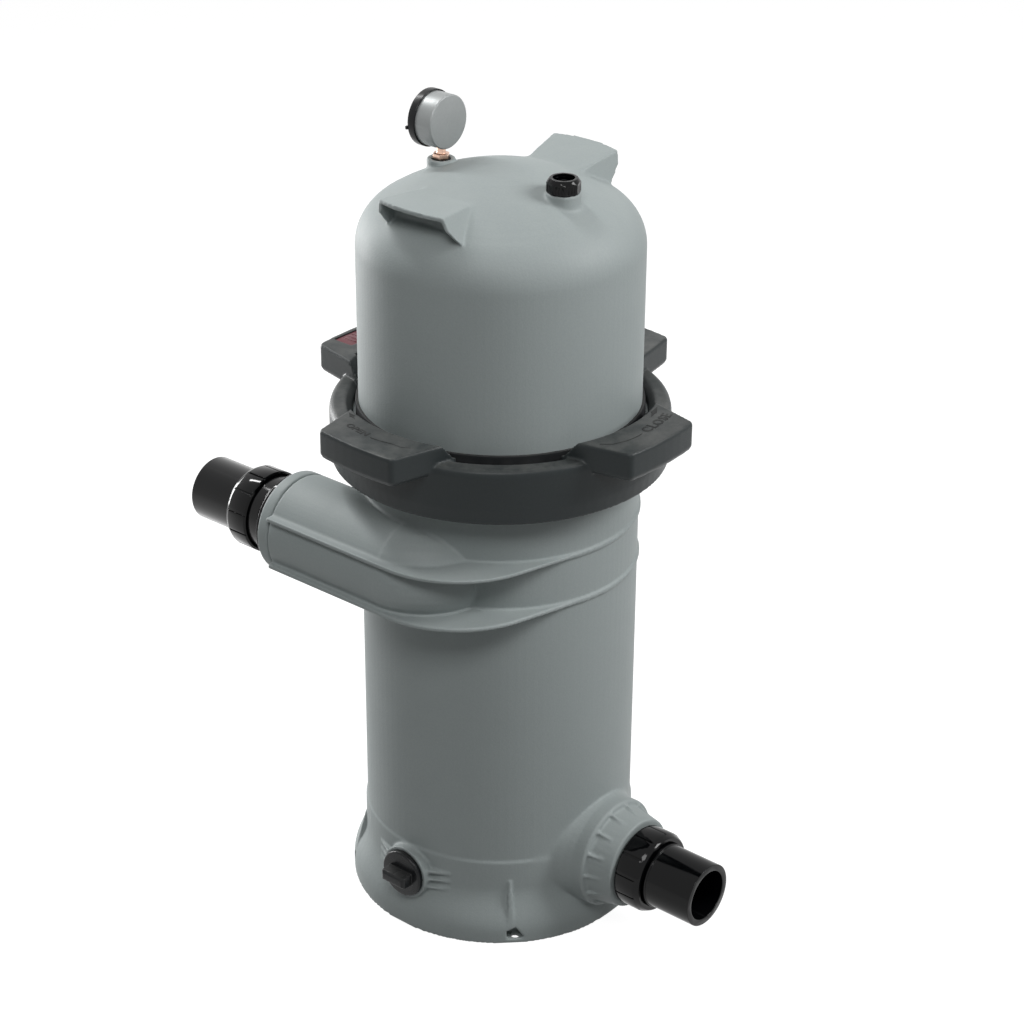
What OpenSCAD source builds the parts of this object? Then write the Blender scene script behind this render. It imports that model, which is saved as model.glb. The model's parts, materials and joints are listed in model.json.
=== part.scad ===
// Cartridge pool filter: a two-piece tank clamped by a lock ring, with unions, drain, gauge and air valve.
// Origin: centre of the foot on the floor. +Z up, +X towards the outlet, -X towards the inlet and gauge,
// -Y towards the drain plug.

/* [Tank] */
// Outer radius of the lower tank
tank_r = 132; // [125:1:140]
// Wall of both tank halves
wall = 6; // [4:0.5:7]
// Height of the underside of the tank floor
floor_z = 24; // [18:1:28]
// Step of the skirt beyond the wall above it
skirt_step = 1.5; // [1:0.5:6]
// Height of the step line
skirt_h = 85; // [70:1:95]
// Outer radius of the foot
base_r = 147; // [144:0.5:156]
// Height of the foot's straight edge
base_h = 11; // [9:0.5:16]
// Height at which the foot's flare has died out
flare_h = 55; // [48:1:62]
// Width of the foot's ring
foot_w = 19; // [14:0.5:24]

/* [Tie-down points] */
// Distance of the anchor holes from the foot's edge
anchor_inset = 7.5; // [7:0.5:9]
// Radius of one anchor hole
anchor_hole_r = 4.5; // [3:0.25:5]
// Thickness of the foot left under the bolt notch
anchor_land = 5; // [4:0.5:8]
// Width of one bolt notch
notch_w = 18; // [14:1:20]
// Height of one bolt notch
notch_h = 12.5; // [10:0.5:16]
// Height of a gusset fin
fin_h = 64; // [50:1:75]
// Thickness of a gusset fin
fin_t = 8; // [4:0.5:9]
// Thickness of a fin at its top
fin_top_t = 3; // [2:0.5:6]

/* [Seam, lid flange and lugs] */
// Height of the seam between tank and lid
seam_z = 496; // [480:1:520]
// Reach of both seam flanges beyond the tank's wall
flange_reach = 13; // [11.5:0.5:14]
// Height of the tank's flange
rim_t = 14; // [12:0.5:18]
// Height of the lid's flange
lid_flange_t = 9; // [7:0.5:12]
// Number of lock lugs
lug_count = 6; // [4:1:6]
// Arc of one lug in degrees
lug_arc = 24; // [18:1:25]
// Radial reach of a tank lug
lug_reach = 8.8; // [6:0.2:9.2]
// Height of a tank lug
lug_t = 8; // [6:0.5:9]
// Distance of the tank O-ring's middle from the flange's edge
seal_inset = 7; // [5:0.5:9]
// Thickness of the tank O-ring
seal_d = 5.4; // [4:0.2:6]

/* [Lid] */
// Step of the lid's wall beyond the tank's wall
lid_step = 0.6; // [0:0.2:1.6]
// Height at which the lid starts to curve in
knuckle_z = 671; // [640:1:700]
// Radius of the lid's shoulder
knuckle_r = 46; // [36:1:60]
// Radius of the lid's crown
crown_r = 209; // [190:1:250]
// Distance of a grip wing's lip from the axis
wing_reach = 126; // [112:1:130]
// Half length of a grip wing's lip
wing_half = 38; // [32:1:46]
// Angle by which one side of a wing tapers towards the crown
wing_taper = 17; // [0:0.5:20]
// Thickness of the webs that carry a wing
wing_web = 4; // [3:0.5:6]
// Height of a wing's lip above the lid's crown
wing_rise = -4.4; // [-7:0.2:4]
// Thickness of a wing's lip
wing_lip = 4; // [3:0.5:6]
// Distance of the wing's root from the axis
wing_root = 50; // [42:1:56]

/* [Lock ring] */
// Play between the lugs and the lock ring's wall
ring_play = 1.2; // [0.6:0.2:4]
// Wall of the lock ring
ring_wall = 5; // [4:0.25:5.4]
// Height of the ring's skirt below the seam
ring_drop = 32; // [30:1:38]
// Thickness of the ring's top lip
ring_lip_t = 11.5; // [8:0.5:13]
// Width of the gap between the lid and the ring's top lip
ring_lip_gap = 5.4; // [4:0.2:7]
// Reach of a handle beyond the ring's wall
handle_reach = 30; // [20:1:45]
// Bulge of a handle's outer face
handle_bulge = 3; // [0:0.5:6]
// Height of a handle's underside above the seam
handle_rise = 10; // [8:0.5:12]
// Angle by which the two side handles stand off square
handle_skew = 2.5; // [0:0.5:5]
// Half width of a handle at its outer face
handle_half = 46; // [36:1:52]
// Half width of a handle at its root
handle_root_half = 60; // [52:1:66]
// Height of a handle
handle_t = 27; // [20:1:30]
// Thickness of a ring lug
ring_lug_t = 8.5; // [6:0.5:10]

/* [Lock tab] */
// Length of the lock tab
tab_l = 56; // [40:1:64]
// Width of the lock tab
tab_w = 22; // [16:1:24]
// Thickness of the lock tab
tab_t = 4; // [3:0.5:6]
// Travel of the lock tab
tab_travel = 3; // [2:0.5:4]

/* [Inlet duct] */
// Height of the inlet axis
inlet_z = 385.5; // [330:0.5:405]
// Distance of the inlet axis inside the tank's outer wall
inlet_inset = 7; // [2:1:12]
// Outer radius of the inlet duct
duct_r = 50; // [44:1:54]
// Wall of the inlet duct
duct_wall = 6; // [4:0.5:7]
// Reach of the duct's open end beyond the tank's wall
duct_out = 7; // [4:1:18]
// Distance past the tank axis at which the duct starts to bend into the tank
duct_fade = -3; // [-10:1:6]
// Bend radius of the duct's axis
duct_bend = 21; // [16:1:40]
// Half height between the two ledges
ledge_half = 24.5; // [20:0.5:30]
// Thickness of a ledge
ledge_t = 4; // [3:0.5:6]
// Reach of a ledge past the tank's wall and the duct's side
ledge_reach = 2; // [1:0.5:5]
// Radius of the ledges' swing from the duct's side to the tank
ledge_bend = 98; // [80:1:110]
// Distance past the tank axis at which the ledges start to swing
ledge_start = 16; // [0:1:20]
// Length of the inlet end ring
end_ring_l = 13.5; // [8:0.5:15]

/* [Outlet boss and elbow] */
// Height of the outlet axis
outlet_z = 73; // [72:0.5:80]
// Radius of the outlet boss where it leaves the tank
boss_root_r = 63; // [60:1:70]
// Radius of the outlet boss at its rim
boss_rim_r = 55; // [50:1:60]
// Reach of the boss rim beyond the tank's wall
boss_rim_out = 20; // [18:1:26]
// Reach of the boss's end face beyond the tank's wall
boss_out = 46; // [40:1:50]
// Radius of the boss at its end face
boss_end_r = 45; // [41:1:50]
// Number of ribs around the boss
boss_ribs = 14; // [8:1:20]
// Outer radius of the outlet elbow
elbow_r = 31.4; // [28:0.2:31.4]

/* [Unions] */
// Outer radius of a tailpiece and of the spigot of its collar
pipe_r = 31.5; // [30.5:0.1:31.5]
// Radius of a tailpiece's socket
socket_r = 25; // [22:0.5:27]
// Depth of a tailpiece's socket
socket_l = 31; // [25:1:40]
// Radius of the water way
way_r = 22.5; // [18:0.5:24]
// Radius of the collar's thread
thread_r = 37.5; // [36.8:0.1:37.9]
// Outer radius of a union nut
nut_r = 40.5; // [40.2:0.1:43]
// Length of a union nut
nut_l = 28; // [24:1:34]
// Gap between the outlet boss and its nut
nut_gap = 1; // [0.5:0.5:4]
// Length of a tailpiece from its nut's near face to its open end
tail_l = 82; // [76:1:100]
// Radius of the inlet collar's disc
collar_r = 45.5; // [41:0.5:49]
// Number of panels around a union nut
nut_panels = 12; // [8:1:16]

/* [Drain plug] */
// Height of the drain axis
drain_z = 57; // [54:0.5:62]
// Radius of the drain boss
drain_boss_r = 27; // [25:0.5:30]
// Reach of the drain boss's face beyond the tank's wall
drain_out = 10; // [6:0.5:14]
// Radius of the plug's flange
plug_r = 24; // [21.5:0.5:26]
// Radius of the plug's thread
plug_thread_r = 17; // [14:0.5:18]
// Length of the plug's grip bar
grip_l = 29; // [22:1:36]
// Thickness of the plug's grip bar
grip_t = 12.5; // [8:0.5:16]
// Height of the plug's grip bar
grip_h = 15; // [10:1:20]

/* [Cartridge] */
// Water space between the pleats and the tank's wall
pleat_gap = 13; // [10:1:26]
// Number of pleats
pleats = 60; // [40:1:64]
// Thickness of the pleated sheet
media_t = 1; // [0.6:0.1:1.2]
// Outer radius of the core
core_r = 48; // [42:1:50]
// Wall of the core
core_wall = 3; // [2:0.5:5]
// Height of the cartridge's underside
cart_z = 112; // [110:1:125]
// Height of the cartridge's top
cart_top = 655; // [560:1:660]
// Thickness of an end cap
cap_t = 20; // [14:1:26]

/* [Gauge and air valve] */
// Distance of the gauge and of the air valve from the axis
boss_x = 72; // [66:1:76]
// Radius of the gauge boss
gauge_boss_r = 13.2; // [11:0.2:15]
// Height of the gauge boss's face above the dome
gauge_boss_h = 6.4; // [4:0.2:9]
// Radius of the gauge case
case_r = 25.2; // [22:0.2:30]
// Height of the gauge's centre above its boss
gauge_rise = 35.5; // [33:0.5:40]
// Depth of the gauge case
case_l = 23.5; // [20:0.5:28]
// Radius of the gauge bezel
bezel_r = 26.7; // [26.3:0.1:28]
// Radius of the air valve boss
valve_boss_r = 15.3; // [14:0.1:17]
// Height of the air valve boss's face above the dome
valve_boss_h = 7.2; // [4:0.2:9]
// Radius of the air valve cap
valve_cap_r = 15.6; // [14.5:0.1:18]
// Height of the air valve cap
valve_cap_h = 13.2; // [11:0.2:18]

/* [Hidden] */
$fn = 96;

gap = 0.3;                 // clearance between pieces that move on each other
slip = 0.1;                // clearance of pieces that are pushed or glued together
over = 1;                  // by which a cut runs past the face that it opens

// What follows the tank's radius
inner_r = tank_r - wall;
skirt_r = tank_r + skirt_step;
foot_bore_r = base_r - foot_w;
anchor_r = base_r - anchor_inset;
flange_r = tank_r + flange_reach;
seal_r = flange_r - seal_inset;
lid_r = tank_r + lid_step;
lid_inner_r = lid_r - wall;
ring_in_r = flange_r + lug_reach + ring_play;
ring_r = ring_in_r + ring_wall;
ring_lip_r = lid_r + ring_lip_gap;
inlet_off = tank_r - inlet_inset;
duct_end = tank_r + duct_out;
boss_rim_x = tank_r + boss_rim_out;
boss_end_x = tank_r + boss_out;
nut_x = boss_end_x + nut_gap;
tail_end = nut_x + tail_l;
drain_face = tank_r + drain_out;
pleat_r = inner_r - pleat_gap;
floor_top = floor_z + wall;

// The lid's crown, and what stands on it
lid_zc = knuckle_z - sqrt(pow(crown_r - knuckle_r, 2) - pow(lid_r - knuckle_r, 2));
lid_top = lid_zc + crown_r;
dome_z = lid_zc + sqrt(crown_r * crown_r - boss_x * boss_x);
gauge_boss_z = dome_z + gauge_boss_h;
gauge_z = gauge_boss_z + gauge_rise;
valve_boss_z = dome_z + valve_boss_h;
inner_pad_z = dome_z - 15.1;
stem_r = 6.5;
valve_stem_r = 8.4;

// Unions
union_face = nut_x + 10.5;             // face of a collar that takes the O-ring
seat_gap = 1.1;                        // space between collar and tail, bridged by the O-ring
tail_flange_x = union_face + seat_gap;
tail_flange_t = 5.4;
lip_x = tail_flange_x + tail_flange_t + gap;   // inner face of a nut's lip
tail_shoulder = 3;                     // length of the tail's stop ring outside the nut

grey = [0.60, 0.63, 0.62];
charcoal = [0.17, 0.19, 0.19];
gloss_black = [0.06, 0.06, 0.07];
rubber_black = [0.10, 0.10, 0.10];

// Turns about Z, with the profile's points given as [radius, height]
module turned(points) { rotate_extrude() polygon(points); }

// A ring of round section about Z
module o_ring(r, d) { rotate_extrude() translate([r, 0]) circle(d = d, $fn = 24); }

// A tube about Z between two heights
module tube(r_out, r_in, low, high) {
    difference() {
        translate([0, 0, low]) cylinder(r = r_out, h = high - low);
        translate([0, 0, low - 1]) cylinder(r = r_in, h = high - low + 2);
    }
}

// Places whose local +Z runs outwards along a port, measured from the tank's axis
module at_outlet() { translate([0, 0, outlet_z]) rotate([0, 90, 0]) children(); }
module at_inlet() { translate([0, -inlet_off, inlet_z]) rotate([0, -90, 0]) children(); }
module at_drain() { translate([0, 0, drain_z]) rotate([90, 0, 0]) children(); }
module at_gauge() { translate([-boss_x, 0, gauge_z]) rotate([0, -90, 0]) children(); }

// Foot and wall of the lower tank

flare_steps = 10;
function flare(t) = [skirt_r + (base_r - skirt_r) * (1 + cos(180 * t)) / 2, base_h + (flare_h - base_h) * t];
outer_points = concat(
    [[0, 0], [base_r, 0]],
    [for (i = [0:flare_steps]) flare(i / flare_steps)],
    [[skirt_r, skirt_h - 1], [tank_r, skirt_h + 1], [tank_r, seam_z - rim_t - 12],
     [flange_r, seam_z - rim_t], [flange_r, seam_z], [0, seam_z]]);

module gusset_fin() {
    // drafted: thicker at its foot than at its top
    intersection() {
        translate([0, fin_t / 2, 0]) rotate([90, 0, 0]) linear_extrude(fin_t)
            polygon([[inner_r + 2, 2], [base_r - 1, 2], [base_r - 1, base_h + 8], [skirt_r + 1, fin_h],
                [inner_r + 2, fin_h]]);
        rotate([90, 0, 90]) linear_extrude(base_r + over) polygon([[-fin_t / 2, 1], [fin_t / 2, 1],
            [fin_top_t / 2, fin_h + 1], [-fin_top_t / 2, fin_h + 1]]);
    }
}

// A lug is a sector of a ring, centred on +X
module sector(r_in, r_out, arc, low, high) {
    translate([0, 0, low]) rotate([0, 0, -arc / 2]) rotate_extrude(angle = arc)
        translate([r_in, 0]) square([r_out - r_in, high - low]);
}

lug_pitch = 360 / lug_count;
lock_turn = lug_pitch / 2;
lug_low = seam_z - rim_t + 2;
stop_arc = 2.5;                        // block that ends a ring lug's turn, in degrees
stop_play = 0.6;
ring_lug_top = lug_low - 0.8;
ring_lug_low = ring_lug_top - ring_lug_t;

// The ledges' planform: a straight side along the duct, an arc that swings in and runs out on the circle
// around the tank, that circle, and the way back along the duct's inner side
arc_parts = 24;
round_parts = 72;
function polar(r, a) = [r * cos(a), r * sin(a)];
ledge_side = inlet_off + duct_r + 1;
ledge_at = [ledge_start, ledge_bend - ledge_side];
// direction of the line that touches both the arc and the circle
ledge_touch = atan2(ledge_at[1], ledge_at[0])
    + acos((tank_r + ledge_reach - ledge_bend) / norm(ledge_at));
module planform() {
    r = tank_r + ledge_reach;
    inner_side = inlet_off - duct_r + 1;
    round_end = 180 + asin(inner_side / r);
    polygon(concat(
        [[-duct_end + 1, -ledge_side]],
        [for (i = [0:arc_parts]) ledge_at + polar(ledge_bend, -90 + (ledge_touch + 90) * i / arc_parts)],
        [for (i = [0:round_parts]) polar(r, ledge_touch + (round_end - ledge_touch) * i / round_parts)],
        [[-duct_end + 1, -inner_side]]));
}

// The duct: a round tube along the side that turns sharply into the tank
bend_at = [duct_fade, duct_bend - inlet_off];
duct_turn = 120;
bend_step = 0.5;                       // by which the bend stands proud of the straight part
function bend_points(r) = let (end = acos(-duct_bend / r)) [for (i = [0:arc_parts])
    i == 0 || i == arc_parts ? [0, r * sin(end) * (i == 0 ? -1 : 1)]
        : [duct_bend, 0] + polar(r, end * (2 * i / arc_parts - 1))];
module duct_form(r, end_x) {
    translate([duct_fade, -inlet_off, inlet_z]) rotate([0, -90, 0]) cylinder(r = r, h = end_x + duct_fade);
    translate([bend_at[0], bend_at[1], inlet_z]) rotate([0, 0, -90])
        rotate_extrude(angle = duct_turn) polygon(bend_points(r + bend_step));
}

module outlet_boss_form() {
    // a short drum with a rounded rim, and the cone that leaves it towards the union
    at_outlet() turned([[0, inner_r - 26], [boss_root_r, inner_r - 26], [boss_root_r, inner_r - 10],
        [boss_rim_r + 2, boss_rim_x - 22], [boss_rim_r, boss_rim_x - 14], [boss_rim_r, boss_rim_x - 2],
        [boss_rim_r - 2, boss_rim_x], [boss_end_r + 4.5, boss_rim_x], [boss_end_r, boss_end_x], [0, boss_end_x]]);
    for (i = [0:boss_ribs - 1]) at_outlet() rotate([0, 0, (i + 0.5) * 360 / boss_ribs])
        translate([0, boss_rib_t / 2, 0]) rotate([90, 0, 0]) linear_extrude(boss_rib_t)
            polygon([[30, boss_rim_x - 1], [boss_rim_r - 2.5, boss_rim_x - 1], [boss_rim_r - 2.5, boss_rim_x + 1],
                [boss_end_r + 2, boss_rim_x + 16], [30, boss_rim_x + 16]]);
}
boss_rib_t = 2.4;

module drain_boss_form() {
    at_drain() translate([0, 0, inner_r - 6]) cylinder(r = drain_boss_r, h = drain_face - inner_r + 6);
    for (side = [0, 1], rise = [-9, 0, 9]) translate([0, 0, drain_z + rise - 1.5]) mirror([side, 0, 0])
        linear_extrude(3) polygon([[drain_boss_r - 5, -inner_r + 4], [drain_boss_r - 5, -drain_face + 2],
            [drain_boss_r + 18, -inner_r - 1], [drain_boss_r + 18, -inner_r + 12]]);
}

plug_seal_r = (plug_thread_r + plug_r) / 2 + 0.5;
plug_seal_d = 3.8;
hole_turn = (notch_w / 2 - fin_t / 2) / anchor_r * 180 / PI;

module lower_tank() {
    color(grey) difference() {
        union() {
            turned(outer_points);
            for (a = [45:90:315]) rotate([0, 0, a]) gusset_fin();
            for (i = [0:lug_count - 1]) rotate([0, 0, i * lug_pitch]) {
                sector(flange_r - 1, flange_r + lug_reach, lug_arc, lug_low, lug_low + lug_t);
                rotate([0, 0, -lug_arc / 2 - stop_play - stop_arc / 2])
                    sector(flange_r - 2, flange_r + lug_reach - 0.5, stop_arc, ring_lug_low + 2,
                        lug_low + lug_t - 1);
            }
            for (z = [inlet_z - ledge_half - ledge_t / 2, inlet_z + ledge_half - ledge_t / 2])
                translate([0, 0, z]) linear_extrude(ledge_t) planform();
            duct_form(duct_r, duct_end);
            outlet_boss_form();
            drain_boss_form();
        }
        // inside of the tank and hollow of the foot
        translate([0, 0, floor_top]) cylinder(r = inner_r, h = seam_z);
        translate([0, 0, -1]) cylinder(r = foot_bore_r, h = floor_z + 1);
        // inside of the duct
        duct_form(duct_r - duct_wall, duct_end + 1);
        // bores of the outlet and of the drain
        at_outlet() translate([0, 0, inner_r - wall]) cylinder(r = pipe_r + slip, h = boss_end_x);
        at_drain() translate([0, 0, inner_r - 2 * wall]) cylinder(r = plug_thread_r + gap, h = drain_face);
        at_drain() tube(plug_seal_r + plug_seal_d / 2 + slip, plug_seal_r - plug_seal_d / 2 - slip,
            drain_face - plug_seal_d + 0.4, drain_face + 1);
        // groove of the tank O-ring
        tube(seal_r + seal_d / 2 + slip, seal_r - seal_d / 2 - slip, seam_z - seal_d - gap - slip, seam_z + 1);
        // anchor holes and the notches over them
        for (a = [45:90:315]) rotate([0, 0, a]) {
            rotate([0, 0, hole_turn]) translate([anchor_r, 0, -over])
                cylinder(r = anchor_hole_r, h = anchor_land + 2 * over, $fn = 48);
            translate([anchor_r - anchor_hole_r - 1.5, -fin_t / 2, anchor_land]) rotate([90, 0, 90])
                linear_extrude(anchor_inset + 2 * anchor_hole_r) polygon([[0, 0], [notch_w, 0],
                    [notch_w / 2, notch_h], [0, 0.65 * notch_h]]);
        }
    }
}

module tank_o_ring() {
    color(rubber_black) translate([0, 0, seam_z - gap - seal_d / 2]) o_ring(seal_r, seal_d);
}

// Lid: straight wall, shoulder arc and crown arc that meet smoothly

meet_a = atan2(knuckle_z - lid_zc, lid_r - knuckle_r);
arc_steps = 12;
function lid_arcs(inset) = concat(
    [for (i = [0:arc_steps]) let (a = meet_a * i / arc_steps)
        [lid_r - knuckle_r + (knuckle_r - inset) * cos(a), knuckle_z + (knuckle_r - inset) * sin(a)]],
    [for (i = [1:arc_steps]) let (a = meet_a + (90 - meet_a) * i / arc_steps)
        [i == arc_steps ? 0 : (crown_r - inset) * cos(a), lid_zc + (crown_r - inset) * sin(a)]]);

lip_z = lid_top + wing_rise;
root_z = lip_z - 7.5;
wing_flare = [6, 15];                  // by which the straight and the tapered web spread at their feet
foot_y = wing_reach - 24;
wing_low = lip_z - 32;
wing_out = wing_reach + 2 * over;

// Seen from the side: the roof over the hollow for the fingers, and the webs with their free edge
roof_side = [[wing_root, root_z], [wing_out, lip_z], [wing_out, lip_z - wing_lip], [foot_y, lip_z - 7.5],
    [foot_y - 2, lip_z - 14], [foot_y - 3, lip_z - 24], [wing_root, root_z - 12]];
web_side = [[wing_root, root_z], [wing_out, lip_z], [wing_out, lip_z - wing_lip], [foot_y, wing_low],
    [wing_root, wing_low]];
module from_side(points) {
    translate([-2 * wing_half, 0, 0]) rotate([90, 0, 90]) linear_extrude(4 * wing_half) polygon(points);
}

// A web that leans outwards, seen from its free edge, with its outer face's top at the origin
module web(flare) {
    rotate([90, 0, 0]) translate([0, 0, -wing_half]) linear_extrude(wing_reach + wing_half)
        polygon([[0, lip_z + over], [wing_web, lip_z + over], [wing_web - flare, wing_low],
            [-flare, wing_low]]);
}

module wing() {
    taper_x = (wing_reach - wing_root) * tan(wing_taper);
    for (side = [0, 1]) rotate([0, 0, 180 * side]) {
        intersection() {
            from_side(roof_side);
            translate([0, 0, wing_low]) linear_extrude(lid_top) polygon([[-wing_half, wing_out],
                [wing_half, wing_out], [wing_half, wing_root], [taper_x - wing_half, wing_root]]);
            cylinder(r = wing_reach, h = 2 * lid_top);
        }
        intersection() {
            from_side(web_side);
            union() {
                translate([-wing_half, wing_reach, 0]) rotate([0, 0, wing_taper]) web(wing_flare[1]);
                translate([wing_half, wing_reach, 0]) mirror([1, 0, 0]) web(wing_flare[0]);
            }
            cylinder(r = wing_reach, h = 2 * lid_top);
        }
    }
}

module upper_housing() {
    color(grey) difference() {
        union() {
            turned(concat([[0, seam_z], [flange_r, seam_z], [flange_r, seam_z + lid_flange_t],
                [lid_r + 1.5, seam_z + lid_flange_t], [lid_r, seam_z + lid_flange_t + 1.5]], lid_arcs(0)));
            wing();
            translate([-boss_x, 0, gauge_boss_z - 30]) cylinder(r = gauge_boss_r, h = 30);
            translate([boss_x, 0, valve_boss_z - 30]) cylinder(r1 = valve_boss_r + 1.5, r2 = valve_boss_r, h = 30);
        }
        difference() {
            turned(concat([[0, seam_z - 1], [lid_inner_r, seam_z - 1]], lid_arcs(wall)));
            // pads left inside under the two bosses
            translate([-boss_x, 0, inner_pad_z]) cylinder(r = gauge_boss_r, h = 40);
            translate([boss_x, 0, inner_pad_z]) cylinder(r = valve_boss_r, h = 40);
        }
        translate([-boss_x, 0, inner_pad_z - 40]) cylinder(r = stem_r + slip, h = 100);
        translate([-boss_x, 0, gauge_boss_z - 2]) cylinder(r = stem_r + 3, h = 10);
        translate([boss_x, 0, inner_pad_z - 40]) cylinder(r = valve_stem_r + slip, h = 100);
        translate([boss_x, 0, valve_boss_z - 2.6]) cylinder(r = valve_stem_r + 3, h = 10);
    }
}

// Lock ring: skirt, top lip, lugs and four handles

handle_z = seam_z + handle_rise;
lip_low = seam_z + lid_flange_t + 0.5;
lip_high = lip_low + ring_lip_t;
ring_low = seam_z - ring_drop;
handle_top = handle_z + handle_t;
handle_bore = ring_lip_r - 0.4;
handle_face = ring_r + handle_reach;
handle_root = ring_lip_r - 20;
handle_angles = [0, 90 - handle_skew, 180, 270 - handle_skew];
ring_points = [[ring_in_r + 1.5, ring_low], [ring_r - 1, ring_low], [ring_r, ring_low + 14],
    [ring_r, lip_high - 7], [ring_r - 1.2, lip_high - 2.6], [ring_r - 4.5, lip_high], [ring_lip_r + 7, lip_high],
    [ring_lip_r, lip_high - 6], [ring_lip_r, lip_low], [ring_in_r, lip_low], [ring_in_r, ring_low + 2]];

module handle_plan(inset) {
    translate([-inset, 0]) offset(r = 6 - inset * 0.5, $fn = 32) offset(delta = -6 - inset * 0.5)
        polygon(concat([[handle_root, -handle_root_half - 3]],
            [for (t = [-1:0.25:1]) [handle_face + inset + handle_bulge * (1 - t * t), handle_half * t]],
            [[handle_root, handle_root_half + 3]]));
}

module handle() {
    hull() {
        translate([0, 0, handle_z]) linear_extrude(1) handle_plan(2);
        translate([0, 0, handle_z + 4]) linear_extrude(handle_t - 6) handle_plan(0);
        translate([0, 0, handle_top - 1]) linear_extrude(1) handle_plan(1.2);
    }
}

tab_x = handle_face - 3.5 - tab_w / 2;
well_floor = handle_top - 1 - tab_t - tab_travel - gap;
leg_r = 3;
leg_y = tab_l / 2 - 9;
module lock_ring() {
    color(charcoal) difference() {
        union() {
            turned(ring_points);
            for (a = handle_angles) rotate([0, 0, a]) handle();
            for (i = [0:lug_count - 1]) rotate([0, 0, i * lug_pitch + lock_turn])
                sector(flange_r + 1.5, ring_in_r + 1, lug_arc, ring_lug_low, ring_lug_top);
        }
        // room for the lid and its flange
        translate([0, 0, seam_z]) cylinder(r = handle_bore, h = 100);
        translate([0, 0, lip_high + 0.4]) cylinder(r1 = ring_lip_r + 1.5, r2 = ring_lip_r + 12.5,
            h = handle_top - lip_high);
        translate([0, 0, ring_lug_top]) cylinder(r = ring_in_r, h = lip_low - ring_lug_top);
        // flat under each handle, for the fingers
        for (a = handle_angles) rotate([0, 0, a])
            translate([ring_r, -handle_root_half, ring_low + 2]) rotate([0, 6, 0]) translate([0, 0, 2])
                cube([10, 2 * handle_root_half, handle_z - ring_low - 5]);
        // well and leg holes of the lock tab, and the notch beside the lid
        translate([-tab_x, 0, well_floor + 50]) cube([tab_w + 2 * gap, tab_l + 2 * gap, 100], center = true);
        for (side = [-1, 1]) translate([-tab_x, side * leg_y, handle_z - 1])
            cylinder(r = leg_r + gap, h = handle_t, $fn = 48);
        translate([-ring_lip_r - 9, -42, lip_high - 5.5]) cube([16, 20, handle_t]);
    }
}

module lock_tab() {
    tab_top = handle_top - 1;
    color([0.45, 0.07, 0.10]) union() {
        translate([-tab_x - tab_w / 2, -tab_l / 2, tab_top - tab_t]) cube([tab_w, tab_l, tab_t]);
        for (side = [-1, 1]) translate([-tab_x, side * leg_y, handle_z + tab_travel + 2])
            cylinder(r = leg_r, h = tab_top - tab_t - handle_z - tab_travel - 1, $fn = 48);
        for (i = [-3:3]) translate([-tab_x, i * 6, tab_top + 0.3]) cube([tab_w - 6, 2, 0.8], center = true);
    }
}

// Cartridge

media_low = cart_z + cap_t;
media_high = cart_top - cap_t;
spigot_r = 30;
seal_in_r = spigot_r + gap;
seal_out_r = spigot_r + 5;

// One pleat of the folded sheet, seen from above: its outer side, or its inner side when t is the sheet
pleat_pitch = 360 / pleats;
pleat_tip = 0.22 * pleat_pitch;
pleat_valley = 0.16 * pleat_pitch;
pleat_root_r = core_r + slip + media_t;
function sheet_arc(r, t) = t / r * 180 / PI;
function pleat_points(t) = [for (i = [0:pleats - 1]) each let (a = i * pleat_pitch,
        tip = pleat_tip - sheet_arc(pleat_r, t), valley = pleat_valley + sheet_arc(pleat_root_r, t))
    [polar(pleat_r - t, a - tip), polar(pleat_r - t, a + tip),
     polar(pleat_root_r - t, a + pleat_pitch / 2 - valley), polar(pleat_root_r - t, a + pleat_pitch / 2 + valley)]];

module cartridge_media() {
    color([0.93, 0.93, 0.90]) translate([0, 0, media_low]) linear_extrude(media_high - media_low) difference() {
        polygon(pleat_points(0));
        polygon(pleat_points(media_t));
    }
}

module cartridge_core() {
    color([0.90, 0.90, 0.88]) difference() {
        tube(core_r, core_r - core_wall, media_low, media_high);
        for (level = [0:slot_levels - 1], a = [0:45:135])
            translate([0, 0, media_low + (level + 0.5) * (media_high - media_low) / slot_levels])
                rotate([0, 0, a]) cube([3 * core_r, 8, slot_h], center = true);
    }
}
slot_levels = 10;
slot_h = 30;

module cartridge_top_cap() {
    color([0.16, 0.30, 0.52]) difference() {
        turned([[0, media_high], [pleat_r + 1.5, media_high], [pleat_r + 1.5, cart_top - 3],
            [pleat_r - 1.5, cart_top], [0, cart_top]]);
        // four windows that leave a cross to lift it by
        for (a = [45:90:315]) rotate([0, 0, a]) intersection() {
            translate([0, 0, media_high - 1]) cylinder(r = core_r - 6, h = cap_t + 2);
            rotate([0, 0, -45]) translate([7, 7, media_high - 2]) cube([60, 60, cap_t + 4]);
        }
    }
}

module cartridge_bottom_cap() {
    color([0.16, 0.30, 0.52]) difference() {
        turned([[0, cart_z], [pleat_r - 1.5, cart_z], [pleat_r + 1.5, cart_z + 3], [pleat_r + 1.5, media_low],
            [0, media_low]]);
        translate([0, 0, cart_z - 1]) cylinder(r = seal_out_r, h = cap_t + 2);
    }
}

module cartridge_seal() { color(rubber_black) tube(seal_out_r, seal_in_r, cart_z, media_low - 4); }

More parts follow.
